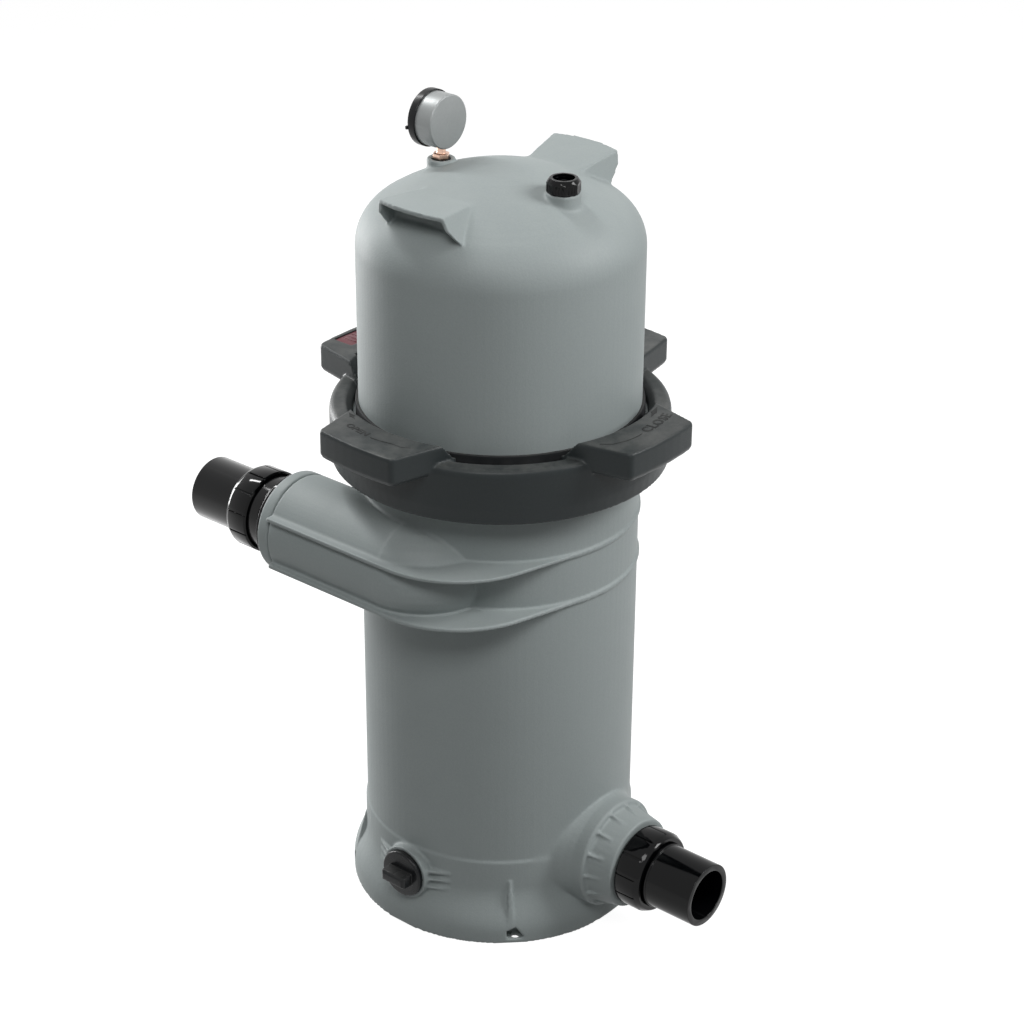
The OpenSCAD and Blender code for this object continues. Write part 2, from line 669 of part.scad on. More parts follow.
// Outlet elbow: from the cartridge down and out through the outlet boss
elbow_way = 24;
collar_x = inner_r + 14;               // inner end of the outlet collar
module outlet_elbow() {
    color([0.80, 0.80, 0.78]) difference() {
        union() {
            translate([0, 0, outlet_z]) sphere(r = elbow_r);
            translate([0, 0, outlet_z]) cylinder(r = elbow_r, h = cart_z - outlet_z);
            translate([0, 0, outlet_z]) cylinder(r = spigot_r, h = media_low - 6 - outlet_z);
            at_outlet() cylinder(r = elbow_r, h = collar_x - 2);
            translate([0, 0, floor_top]) cylinder(r = 14, h = outlet_z - elbow_way - floor_top - 2);
        }
        translate([0, 0, outlet_z]) sphere(r = elbow_way);
        translate([0, 0, outlet_z]) cylinder(r = elbow_way, h = cart_z);
        at_outlet() cylinder(r = elbow_way, h = boss_end_x);
    }
}

// Unions: the same nut, tail and O-ring on both ports

module union_nut() {
    panel_w = 2 * PI * nut_r / nut_panels - 2.2;
    color(gloss_black) difference() {
        intersection() {
            turned([[0, nut_x], [nut_r - 1.6, nut_x], [nut_r, nut_x + 1.6], [nut_r, nut_x + nut_l - 6],
                [nut_r - 2.5, nut_x + nut_l - 1], [nut_r - 3.5, nut_x + nut_l], [0, nut_x + nut_l]]);
            translate([0, 0, nut_x - 1]) union() {
                cylinder(r = nut_r - 1.1, h = nut_l + 2);
                for (i = [0:nut_panels - 1]) rotate([0, 0, i * 360 / nut_panels])
                    translate([-nut_r, -panel_w / 2, 0]) cube([nut_r, panel_w, nut_l + 2]);
            }
        }
        translate([0, 0, nut_x - 1]) cylinder(r = thread_r + gap, h = lip_x - nut_x + 1);
        translate([0, 0, nut_x - 1]) cylinder(r = pipe_r + 1.5, h = nut_l + 2);
    }
}

module union_tail() {
    shoulder_x = nut_x + nut_l + 1;
    color(gloss_black) difference() {
        turned([[0, tail_flange_x], [thread_r - gap, tail_flange_x], [thread_r - gap, tail_flange_x + tail_flange_t],
            [pipe_r, tail_flange_x + tail_flange_t], [pipe_r, shoulder_x], [pipe_r + 1, shoulder_x],
            [pipe_r + 1, shoulder_x + tail_shoulder], [pipe_r, shoulder_x + tail_shoulder],
            [pipe_r, tail_end], [0, tail_end]]);
        translate([0, 0, tail_flange_x - 1]) cylinder(r = way_r, h = tail_end);
        translate([0, 0, tail_end - socket_l]) cylinder(r = socket_r, h = socket_l + 1);
    }
}

union_seal_r = (way_r + thread_r) / 2;
union_seal_d = 4.4;
module union_seal() {
    color(rubber_black) translate([0, 0, tail_flange_x - 0.2 - union_seal_d / 2]) o_ring(union_seal_r, union_seal_d);
}
module union_groove() {
    tube(union_seal_r + union_seal_d / 2 + slip, union_seal_r - union_seal_d / 2 - slip,
        tail_flange_x - 0.2 - union_seal_d - slip, union_face + 1);
}

module outlet_collar() {
    color(gloss_black) at_outlet() difference() {
        turned([[0, collar_x], [pipe_r, collar_x], [pipe_r, boss_end_x], [thread_r, boss_end_x],
            [thread_r, union_face], [0, union_face]]);
        translate([0, 0, inner_r]) cylinder(r = way_r, h = union_face);
        union_groove();
    }
}
module outlet_nut() { at_outlet() union_nut(); }
module outlet_tail() { at_outlet() union_tail(); }
module outlet_o_ring() { at_outlet() union_seal(); }

ring_seat = duct_end + 1;
ring_face = ring_seat + end_ring_l;
ring_plug = 19;                        // length of the end ring's part inside the duct
ring_plug_r = duct_r - duct_wall - slip;
disc_t = 12;                           // length of the inlet collar's disc, with its cone
module inlet_end_ring() {
    color(grey) at_inlet() difference() {
        turned([[0, ring_seat - ring_plug], [ring_plug_r, ring_seat - ring_plug], [ring_plug_r, ring_seat],
            [duct_r - 1.5, ring_seat], [duct_r, ring_seat + 1.5], [duct_r, ring_face - 2],
            [duct_r - 2, ring_face], [0, ring_face]]);
        translate([0, 0, ring_seat - ring_plug - over])
            cylinder(r = pipe_r + slip, h = end_ring_l + ring_plug + 2 * over);
    }
}
module inlet_collar() {
    color(gloss_black) at_inlet() difference() {
        turned([[0, duct_end - 10], [pipe_r, duct_end - 10], [pipe_r, ring_face], [collar_r, ring_face],
            [collar_r, ring_face + 5], [collar_r - 5, ring_face + disc_t - 1], [thread_r, ring_face + disc_t],
            [thread_r, union_face], [0, union_face]]);
        translate([0, 0, duct_end - 20]) cylinder(r = way_r, h = union_face);
        union_groove();
    }
}
module inlet_nut() { at_inlet() union_nut(); }
module inlet_tail() { at_inlet() union_tail(); }
module inlet_o_ring() { at_inlet() union_seal(); }

// Drain plug
plug_face = drain_face + 0.8;
module drain_plug() {
    color(gloss_black * 1.6) at_drain() difference() {
        union() {
            turned([[0, inner_r - 4], [plug_thread_r - 1, inner_r - 4], [plug_thread_r, inner_r - 3],
                [plug_thread_r, plug_face], [plug_r, plug_face], [plug_r, plug_face + 3.5],
                [plug_r - 1.2, plug_face + 4.7], [0, plug_face + 4.7]]);
            hull() {
                translate([0, 0, plug_face + 4]) cube([grip_l, grip_t, 1], center = true);
                translate([0, 0, plug_face + grip_h]) cube([grip_l, grip_t - 1, 1], center = true);
                translate([0, 0, plug_face + grip_h + 2.5]) cube([grip_l - 5, grip_t - 5, 1], center = true);
            }
        }
        translate([0, 0, inner_r - 5]) cylinder(r = plug_thread_r - 4, h = 12);
    }
}
module drain_o_ring() {
    color(rubber_black) at_drain() translate([0, 0, drain_face + 0.4 - plug_seal_d / 2]) o_ring(plug_seal_r, plug_seal_d);
}

// Pressure gauge: local +Z of at_gauge() runs towards the dial's reader

case_back = -9.5;
case_front = case_back + case_l;
case_skin = 1;
lens_t = 2;
bezel_front = case_front + lens_t + gap + 1.5;
bezel_back = case_front - 5;
dial_z = case_front - 7;
socket_z = gauge_z - case_r + 7;         // top of the stem's socket block inside the case
hex_r = 8;
hex_h = 4.5;

module gauge_stem() {
    color([0.72, 0.48, 0.30]) translate([-boss_x, 0, 0]) union() {
        translate([0, 0, inner_pad_z + 2]) cylinder(r = stem_r, h = gauge_boss_z - inner_pad_z - 2);
        translate([0, 0, gauge_boss_z]) cylinder(r = hex_r, h = hex_h, $fn = 6);
        translate([0, 0, gauge_boss_z]) cylinder(r = 4.2, h = socket_z - gauge_boss_z);
    }
}
module gauge_seal() {
    color(rubber_black) translate([-boss_x, 0, gauge_boss_z - 1]) o_ring(stem_r + 1.5 - 0.1, 1.8);
}
module gauge_case() {
    color([0.62, 0.64, 0.64]) difference() {
        at_gauge() turned([[0, case_back], [case_r - 1, case_back], [case_r, case_back + 1], [case_r, case_front],
            [case_r - case_skin, case_front], [case_r - case_skin, case_back + case_skin], [0, case_back + case_skin]]);
        translate([-boss_x, 0, gauge_z - case_r - 2]) cylinder(r = 4.2 + slip, h = 6);
    }
}
module gauge_bezel() {
    color(gloss_black) at_gauge() union() {
        turned([[case_r + gap, bezel_back], [bezel_r - 0.6, bezel_back], [bezel_r, bezel_back + 0.6],
            [bezel_r, bezel_front - 1.2], [bezel_r - 1.2, bezel_front], [case_r - 3, bezel_front],
            [case_r - 3, bezel_front - 1.5], [case_r + gap, bezel_front - 1.5]]);
        // marker nub for the clean pressure
        rotate([0, 0, -100]) translate([case_r - 0.5, -1.5, bezel_front - 0.8]) cube([3, 3, 2.2]);
    }
}
module gauge_lens() {
    color([0.85, 0.9, 0.92, 0.4]) at_gauge() translate([0, 0, case_front]) cylinder(r = case_r - slip, h = lens_t);
}
module gauge_dial() {
    color("white") at_gauge() tube(case_r - case_skin - slip, arbor_r + 1, dial_z, dial_z + 0.8);
}
arbor_r = 1.2;
pointer_l = case_r - 6.5;
module gauge_pointer() {
    color([0.08, 0.08, 0.08]) at_gauge() rotate([0, 0, 135]) union() {
        translate([0, 0, dial_z + 1.6]) linear_extrude(0.8)
            polygon([[-7, -1.2], [0, -1.6], [pointer_l, -0.35], [pointer_l, 0.35], [0, 1.6], [-7, 1.2]]);
        translate([0, 0, dial_z + 1.2]) cylinder(r = 3, h = 1.8, $fn = 32);
        translate([0, 0, dial_z - 6]) cylinder(r = arbor_r, h = 8, $fn = 32);
    }
}
module gauge_movement() {
    // plate that carries the pointer's arbor, standing on the stem's socket
    color([0.78, 0.62, 0.30]) difference() {
        at_gauge() translate([socket_z - gauge_z, -5, dial_z - 7.5]) cube([gauge_z - socket_z + 7, 10, 6]);
        at_gauge() translate([0, 0, dial_z - 20]) cylinder(r = arbor_r + 0.08, h = 40, $fn = 48);
    }
}
bourdon_r = 16.5;
module bourdon_tube() {
    color([0.78, 0.62, 0.30]) at_gauge() translate([0, 0, dial_z - 5]) rotate([0, 0, -165])
        rotate_extrude(angle = 250) translate([bourdon_r, 0]) circle(r = 1.8, $fn = 24);
}

// Air relief valve
valve_collar_r = 11.7;
valve_top = valve_boss_z + gap + valve_cap_h;
module air_valve_stem() {
    color(gloss_black) translate([boss_x, 0, 0]) difference() {
        union() {
            translate([0, 0, inner_pad_z + 2]) cylinder(r = valve_stem_r, h = valve_boss_z - inner_pad_z);
            translate([0, 0, valve_boss_z]) cylinder(r = valve_collar_r, h = valve_cap_h - 4);
        }
        translate([0, 0, inner_pad_z]) cylinder(r = 5, h = 60);
    }
}
module air_valve_o_ring() {
    color(rubber_black) translate([boss_x, 0, valve_boss_z - 1.3]) o_ring(valve_stem_r + 1.5, 2.4);
}
module air_valve_cap() {
    low = valve_boss_z + gap;
    color(gloss_black) translate([boss_x, 0, 0]) difference() {
        intersection() {
            translate([0, 0, low]) cylinder(r = valve_cap_r, h = valve_cap_h, $fn = 8);
            turned([[0, low], [valve_cap_r - 0.8, low], [valve_cap_r, low + 0.8], [valve_cap_r, valve_top - 4],
                [valve_cap_r - 3, valve_top], [0, valve_top]]);
        }
        translate([0, 0, low - 1]) cylinder(r = valve_collar_r + gap, h = valve_cap_h - 2.4);
        translate([0, 0, low - 1]) cylinder(r = valve_collar_r - 1.7, h = valve_cap_h + 2);
        for (i = [0:7]) rotate([0, 0, i * 45 + 22.5]) for (t = [-3, 0, 3])
            translate([valve_cap_r * cos(22.5) - 0.5, t - 0.5, low + 2]) cube([2, 1, valve_cap_h - 7]);
    }
}
module air_strainer() {
    color([0.85, 0.85, 0.83]) translate([boss_x, 0, 0]) difference() {
        union() {
            translate([0, 0, inner_pad_z - 2]) cylinder(r = 11, h = 2);
            translate([0, 0, inner_pad_z - 26]) cylinder(r = 8, h = 24);
        }
        translate([0, 0, inner_pad_z - 24]) cylinder(r = 6.5, h = 40);
        for (z = [5:6:20], a = [0:60:120]) translate([0, 0, inner_pad_z - 26 + z]) rotate([0, 0, a])
            cube([20, 2, 3], center = true);
    }
}

lower_tank();
tank_o_ring();
upper_housing();
lock_ring();
lock_tab();
cartridge_media();
cartridge_core();
cartridge_top_cap();
cartridge_bottom_cap();
cartridge_seal();
outlet_elbow();
outlet_collar();
outlet_nut();
outlet_tail();
outlet_o_ring();
inlet_end_ring();
inlet_collar();
inlet_nut();
inlet_tail();
inlet_o_ring();
drain_plug();
drain_o_ring();
gauge_stem();
gauge_seal();
gauge_case();
gauge_bezel();
gauge_lens();
gauge_dial();
gauge_pointer();
gauge_movement();
bourdon_tube();
air_valve_cap();
air_valve_stem();
air_valve_o_ring();
air_strainer();
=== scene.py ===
import json
import math

import bmesh
import bpy
import numpy as np
from mathutils import Matrix, Vector


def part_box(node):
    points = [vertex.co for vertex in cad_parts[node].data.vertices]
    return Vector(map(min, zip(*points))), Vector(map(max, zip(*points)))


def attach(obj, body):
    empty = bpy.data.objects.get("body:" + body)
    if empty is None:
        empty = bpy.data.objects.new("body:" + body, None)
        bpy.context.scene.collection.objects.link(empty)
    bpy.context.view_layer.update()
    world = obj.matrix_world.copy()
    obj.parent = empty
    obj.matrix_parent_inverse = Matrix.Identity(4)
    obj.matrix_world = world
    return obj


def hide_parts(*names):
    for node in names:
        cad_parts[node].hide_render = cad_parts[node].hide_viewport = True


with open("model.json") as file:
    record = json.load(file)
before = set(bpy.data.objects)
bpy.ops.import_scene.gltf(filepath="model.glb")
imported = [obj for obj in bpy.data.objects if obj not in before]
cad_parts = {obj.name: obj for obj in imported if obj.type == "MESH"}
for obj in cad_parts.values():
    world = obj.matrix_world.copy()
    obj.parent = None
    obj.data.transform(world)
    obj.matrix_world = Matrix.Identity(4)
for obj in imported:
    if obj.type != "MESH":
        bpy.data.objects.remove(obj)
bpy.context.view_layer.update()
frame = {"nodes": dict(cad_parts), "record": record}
nodes = frame["nodes"]
bodyOf = {node: body for body, members in frame["record"]["behaviour"]["bodies"].items() for node in members}
mm = 0.001
print("frame loaded:", len(nodes), "nodes")

# shader groups


def newGroup(name, inputs, outputs):
    group = bpy.data.node_groups.new(name, "ShaderNodeTree")
    for label, kind, value in inputs:
        socket = group.interface.new_socket(name=label, in_out="INPUT", socket_type=kind)
        socket.default_value = value
    for label, kind in outputs:
        group.interface.new_socket(name=label, in_out="OUTPUT", socket_type=kind)
    return group, group.nodes.new("NodeGroupInput"), group.nodes.new("NodeGroupOutput")


def put(tree, kind, settings=None, sockets=None):
    # a new node, with its own settings and the values of its sockets
    node = tree.nodes.new(kind)
    for key, value in (settings or {}).items():
        setattr(node, key, value)
    for key, value in (sockets or {}).items():
        node.inputs[key].default_value = value
    return node


def math2(tree, operation, a, b, clamp=False):
    node = put(tree, "ShaderNodeMath", {"operation": operation, "use_clamp": clamp})
    for index, value in enumerate((a, b)):
        if isinstance(value, (int, float)):
            node.inputs[index].default_value = value
        else:
            tree.links.new(value, node.inputs[index])
    return node.outputs[0]


def spread(tree, value, low, high, toLow=0.0, toHigh=1.0):
    node = put(tree, "ShaderNodeMapRange", {"interpolation_type": "SMOOTHSTEP"},
               {"From Min": low, "From Max": high, "To Min": toLow, "To Max": toHigh})
    tree.links.new(value, node.inputs["Value"])
    return node.outputs["Result"]


def blendColours(tree, factor, a, b, mode="MIX"):
    node = put(tree, "ShaderNodeMix", {"data_type": "RGBA", "blend_type": mode})
    for socket, value in ((node.inputs[0], factor), (node.inputs[6], a), (node.inputs[7], b)):
        if isinstance(value, (int, float, tuple)):
            socket.default_value = value
        else:
            tree.links.new(value, socket)
    return node.outputs[2]


def noiseAt(tree, place, scale, detail, rough=0.5):
    node = put(tree, "ShaderNodeTexNoise", None, {"Detail": detail, "Roughness": rough})
    tree.links.new(place, node.inputs["Vector"])
    if isinstance(scale, (int, float)):
        node.inputs["Scale"].default_value = scale
    else:
        tree.links.new(scale, node.inputs["Scale"])
    return node.outputs["Fac"]


def makeWearGroup():
    # patches, rubbed edges and dust on upward faces, which every finish on the filter shows to some degree;
    # lightening the upward faces also paints a sheen for the light that falls on tops
    group, start, end = newGroup("wearDustAndTopSheen", [
        ("Base", "NodeSocketColor", (0.5, 0.5, 0.5, 1)), ("Patch Scale", "NodeSocketFloat", 7.0),
        ("Patch Depth", "NodeSocketFloat", 0.05), ("Edge Lift", "NodeSocketFloat", 0.3),
        ("Dust And Top Sheen", "NodeSocketFloat", 0.15), ("Roughness", "NodeSocketFloat", 0.5),
        ("Roughness Spread", "NodeSocketFloat", 0.1)],
        [("Colour", "NodeSocketColor"), ("Roughness", "NodeSocketFloat")])
    place = put(group, "ShaderNodeTexCoord").outputs["Object"]
    patch = noiseAt(group, place, start.outputs["Patch Scale"], 4.0, 0.6)
    speck = noiseAt(group, place, 520.0, 2.0, 0.6)
    depth = start.outputs["Patch Depth"]
    patches = math2(group, "MULTIPLY", math2(group, "SUBTRACT", patch, 0.5), depth)
    specks = math2(group, "MULTIPLY", math2(group, "SUBTRACT", speck, 0.5), math2(group, "MULTIPLY", depth, 1.6))
    shade = math2(group, "ADD", patches, specks)
    gain = math2(group, "ADD", math2(group, "MULTIPLY", shade, 2.0), 1.0)
    tone = put(group, "ShaderNodeCombineColor")
    for index in range(3):
        group.links.new(gain, tone.inputs[index])
    colour = blendColours(group, 1.0, start.outputs["Base"], tone.outputs[0], "MULTIPLY")
    point = put(group, "ShaderNodeNewGeometry")
    edge = spread(group, point.outputs["Pointiness"], 0.52, 0.62)
    rubbed = math2(group, "MULTIPLY", math2(group, "MULTIPLY", edge, start.outputs["Edge Lift"]),
                   spread(group, noiseAt(group, place, 60.0, 3.0), 0.3, 0.65))
    colour = blendColours(group, rubbed, colour, (0.82, 0.83, 0.82, 1))
    up = put(group, "ShaderNodeSeparateXYZ")
    group.links.new(point.outputs["Normal"], up.inputs[0])
    # upward faces are lightened towards a pale dust colour: real dust, and also a painted sheen for the light on top
    # faces
    dustAndTopSheen = math2(group, "MULTIPLY", spread(group, up.outputs[2], 0.55, 1.0), start.outputs["Dust And Top Sheen"])
    drift = spread(group, noiseAt(group, place, 24.0, 5.0, 0.7), 0.25, 0.75)
    dustAndTopSheen = math2(group, "MULTIPLY", dustAndTopSheen, drift)
    colour = blendColours(group, dustAndTopSheen, colour, (0.70, 0.69, 0.65, 1))
    uneven = math2(group, "SUBTRACT", noiseAt(group, place, 38.0, 4.0, 0.65), 0.5)
    uneven = math2(group, "MULTIPLY", start.outputs["Roughness Spread"], uneven)
    rough = math2(group, "ADD", start.outputs["Roughness"], uneven)
    rough = math2(group, "ADD", rough, math2(group, "MULTIPLY", dustAndTopSheen, 0.4), True)
    group.links.new(colour, end.inputs["Colour"])
    group.links.new(rough, end.inputs["Roughness"])
    return group


def makeGrainGroup():
    # spark-eroded grain of a moulding tool: fine pits on a slow swell
    group, start, end = newGroup("mouldedGrain", [
        ("Grain Scale", "NodeSocketFloat", 900.0), ("Pit Share", "NodeSocketFloat", 0.4),
        ("Swell", "NodeSocketFloat", 0.5)], [("Height", "NodeSocketFloat")])
    place = put(group, "ShaderNodeTexCoord").outputs["Object"]
    fine = noiseAt(group, place, start.outputs["Grain Scale"], 3.0, 0.6)
    pits = put(group, "ShaderNodeTexVoronoi", {"feature": "SMOOTH_F1"})
    group.links.new(place, pits.inputs["Vector"])
    group.links.new(start.outputs["Grain Scale"], pits.inputs["Scale"])
    slow = noiseAt(group, place, 30.0, 2.0)
    pitted = math2(group, "MULTIPLY", pits.outputs["Distance"], start.outputs["Pit Share"])
    height = math2(group, "ADD", fine, pitted)
    height = math2(group, "ADD", height, math2(group, "MULTIPLY", slow, start.outputs["Swell"]))
    group.links.new(height, end.inputs["Height"])
    return group


def makeScuffGroup():
    # hairline scuffs and finger smears on polished plastic
    group, start, end = newGroup("scuffsAndSmears", [
        ("Scuff Scale", "NodeSocketFloat", 240.0), ("Scuffs", "NodeSocketFloat", 0.25),
        ("Smears", "NodeSocketFloat", 0.2)],
        [("Roughness Gain", "NodeSocketFloat"), ("Height", "NodeSocketFloat")])
    place = put(group, "ShaderNodeTexCoord").outputs["Object"]
    turn = put(group, "ShaderNodeMapping", None, {"Rotation": (0.5, 0.9, 0.3), "Scale": (0.06, 1.0, 1.0)})
    group.links.new(place, turn.inputs["Vector"])
    hair = spread(group, noiseAt(group, turn.outputs[0], start.outputs["Scuff Scale"], 4.0, 0.7), 0.60, 0.74)
    smear = spread(group, noiseAt(group, place, 34.0, 3.0, 0.55), 0.48, 0.75)
    scuffs = math2(group, "MULTIPLY", hair, start.outputs["Scuffs"])
    gain = math2(group, "ADD", scuffs, math2(group, "MULTIPLY", smear, start.outputs["Smears"]))
    group.links.new(gain, end.inputs["Roughness Gain"])
    group.links.new(math2(group, "MULTIPLY", hair, -0.6), end.inputs["Height"])
    return group


def makeTurnedGroup():
    # fine rings left by turning or brushing, along one axis of the piece
    group, start, end = newGroup("turnedRings", [
        ("Rings", "NodeSocketFloat", 900.0), ("Stretch", "NodeSocketVector", (1.0, 0.02, 0.02))],
        [("Height", "NodeSocketFloat"), ("Mask", "NodeSocketFloat")])
    place = put(group, "ShaderNodeTexCoord").outputs["Object"]
    scaled = put(group, "ShaderNodeVectorMath", {"operation": "MULTIPLY"})
    group.links.new(place, scaled.inputs[0])
    group.links.new(start.outputs["Stretch"], scaled.inputs[1])
    rings = noiseAt(group, scaled.outputs[0], start.outputs["Rings"], 4.0, 0.7)
    group.links.new(rings, end.inputs["Height"])
    group.links.new(spread(group, rings, 0.35, 0.7), end.inputs["Mask"])
    return group


def makeFeltGroup():
    # pressed fibres of the filter sheet, with the tint of what it has caught
    group, start, end = newGroup("feltFibres", [
        ("Base", "NodeSocketColor", (0.9, 0.9, 0.88, 1)), ("Caught", "NodeSocketColor", (0.62, 0.57, 0.46, 1)),
        ("Fibre Scale", "NodeSocketFloat", 1500.0), ("Loading", "NodeSocketFloat", 0.25)],
        [("Colour", "NodeSocketColor"), ("Height", "NodeSocketFloat")])
    place = put(group, "ShaderNodeTexCoord").outputs["Object"]
    long = put(group, "ShaderNodeMapping", None, {"Scale": (1.0, 1.0, 0.15)})
    group.links.new(place, long.inputs["Vector"])
    fibre = noiseAt(group, long.outputs[0], start.outputs["Fibre Scale"], 5.0, 0.75)
    cross = noiseAt(group, place, start.outputs["Fibre Scale"], 3.0, 0.7)
    stain = math2(group, "MULTIPLY", spread(group, noiseAt(group, place, 11.0, 4.0, 0.6), 0.35, 0.75),
                  start.outputs["Loading"])
    colour = blendColours(group, stain, start.outputs["Base"], start.outputs["Caught"])
    tone = put(group, "ShaderNodeCombineColor")
    gain = spread(group, fibre, 0.2, 0.8, 0.86, 1.04)
    for index in range(3):
        group.links.new(gain, tone.inputs[index])
    colour = blendColours(group, 1.0, colour, tone.outputs[0], "MULTIPLY")
    group.links.new(colour, end.inputs["Colour"])
    group.links.new(math2(group, "ADD", fibre, math2(group, "MULTIPLY", cross, 0.5)), end.inputs["Height"])
    return group


wearAndSheenGroup, grainGroup, scuffGroup = makeWearGroup(), makeGrainGroup(), makeScuffGroup()
turnedGroup, feltGroup = makeTurnedGroup(), makeFeltGroup()


def useGroup(tree, group, values):
    node = put(tree, "ShaderNodeGroup", {"node_tree": group})
    for key, value in values.items():
        node.inputs[key].default_value = value
    return node


def newMaterial(name, settings):
    material = bpy.data.materials.new(name)
    material.use_nodes = True
    shader = material.node_tree.nodes["Principled BSDF"]
    for key, value in settings.items():
        shader.inputs[key].default_value = value
    return material, material.node_tree, shader


def makeMaterial(name, look):
    material, tree, shader = newMaterial(name, look["shader"])
    wearAndSheen = useGroup(tree, wearAndSheenGroup, {**look["wearAndSheen"], "Base": (*look["colour"], 1)})
    tree.links.new(wearAndSheen.outputs["Colour"], shader.inputs["Base Color"])
    rough = wearAndSheen.outputs["Roughness"]
    heights = []
    if "grain" in look:
        grain = useGroup(tree, grainGroup, look["grain"])
        heights.append((grain.outputs["Height"], look["grainBump"]))
    if "scuffs" in look:
        scuffs = useGroup(tree, scuffGroup, look["scuffs"])
        rough = math2(tree, "ADD", rough, scuffs.outputs["Roughness Gain"], True)
        heights.append((scuffs.outputs["Height"], look["scuffBump"]))
    if "rings" in look:
        rings = useGroup(tree, turnedGroup, look["rings"])
        rough = math2(tree, "ADD", rough, math2(tree, "MULTIPLY", rings.outputs["Mask"], look["ringRoughness"]), True)
        heights.append((rings.outputs["Height"], look["ringBump"]))
    tree.links.new(rough, shader.inputs["Roughness"])
    normal = None
    for height, (strength, distance) in heights:
        bump = put(tree, "ShaderNodeBump", None, {"Strength": strength, "Distance": distance})
        tree.links.new(height, bump.inputs["Height"])
        if normal:
            tree.links.new(normal, bump.inputs["Normal"])
        normal = bump.outputs["Normal"]
    if normal:
        tree.links.new(normal, shader.inputs["Normal"])
    return material


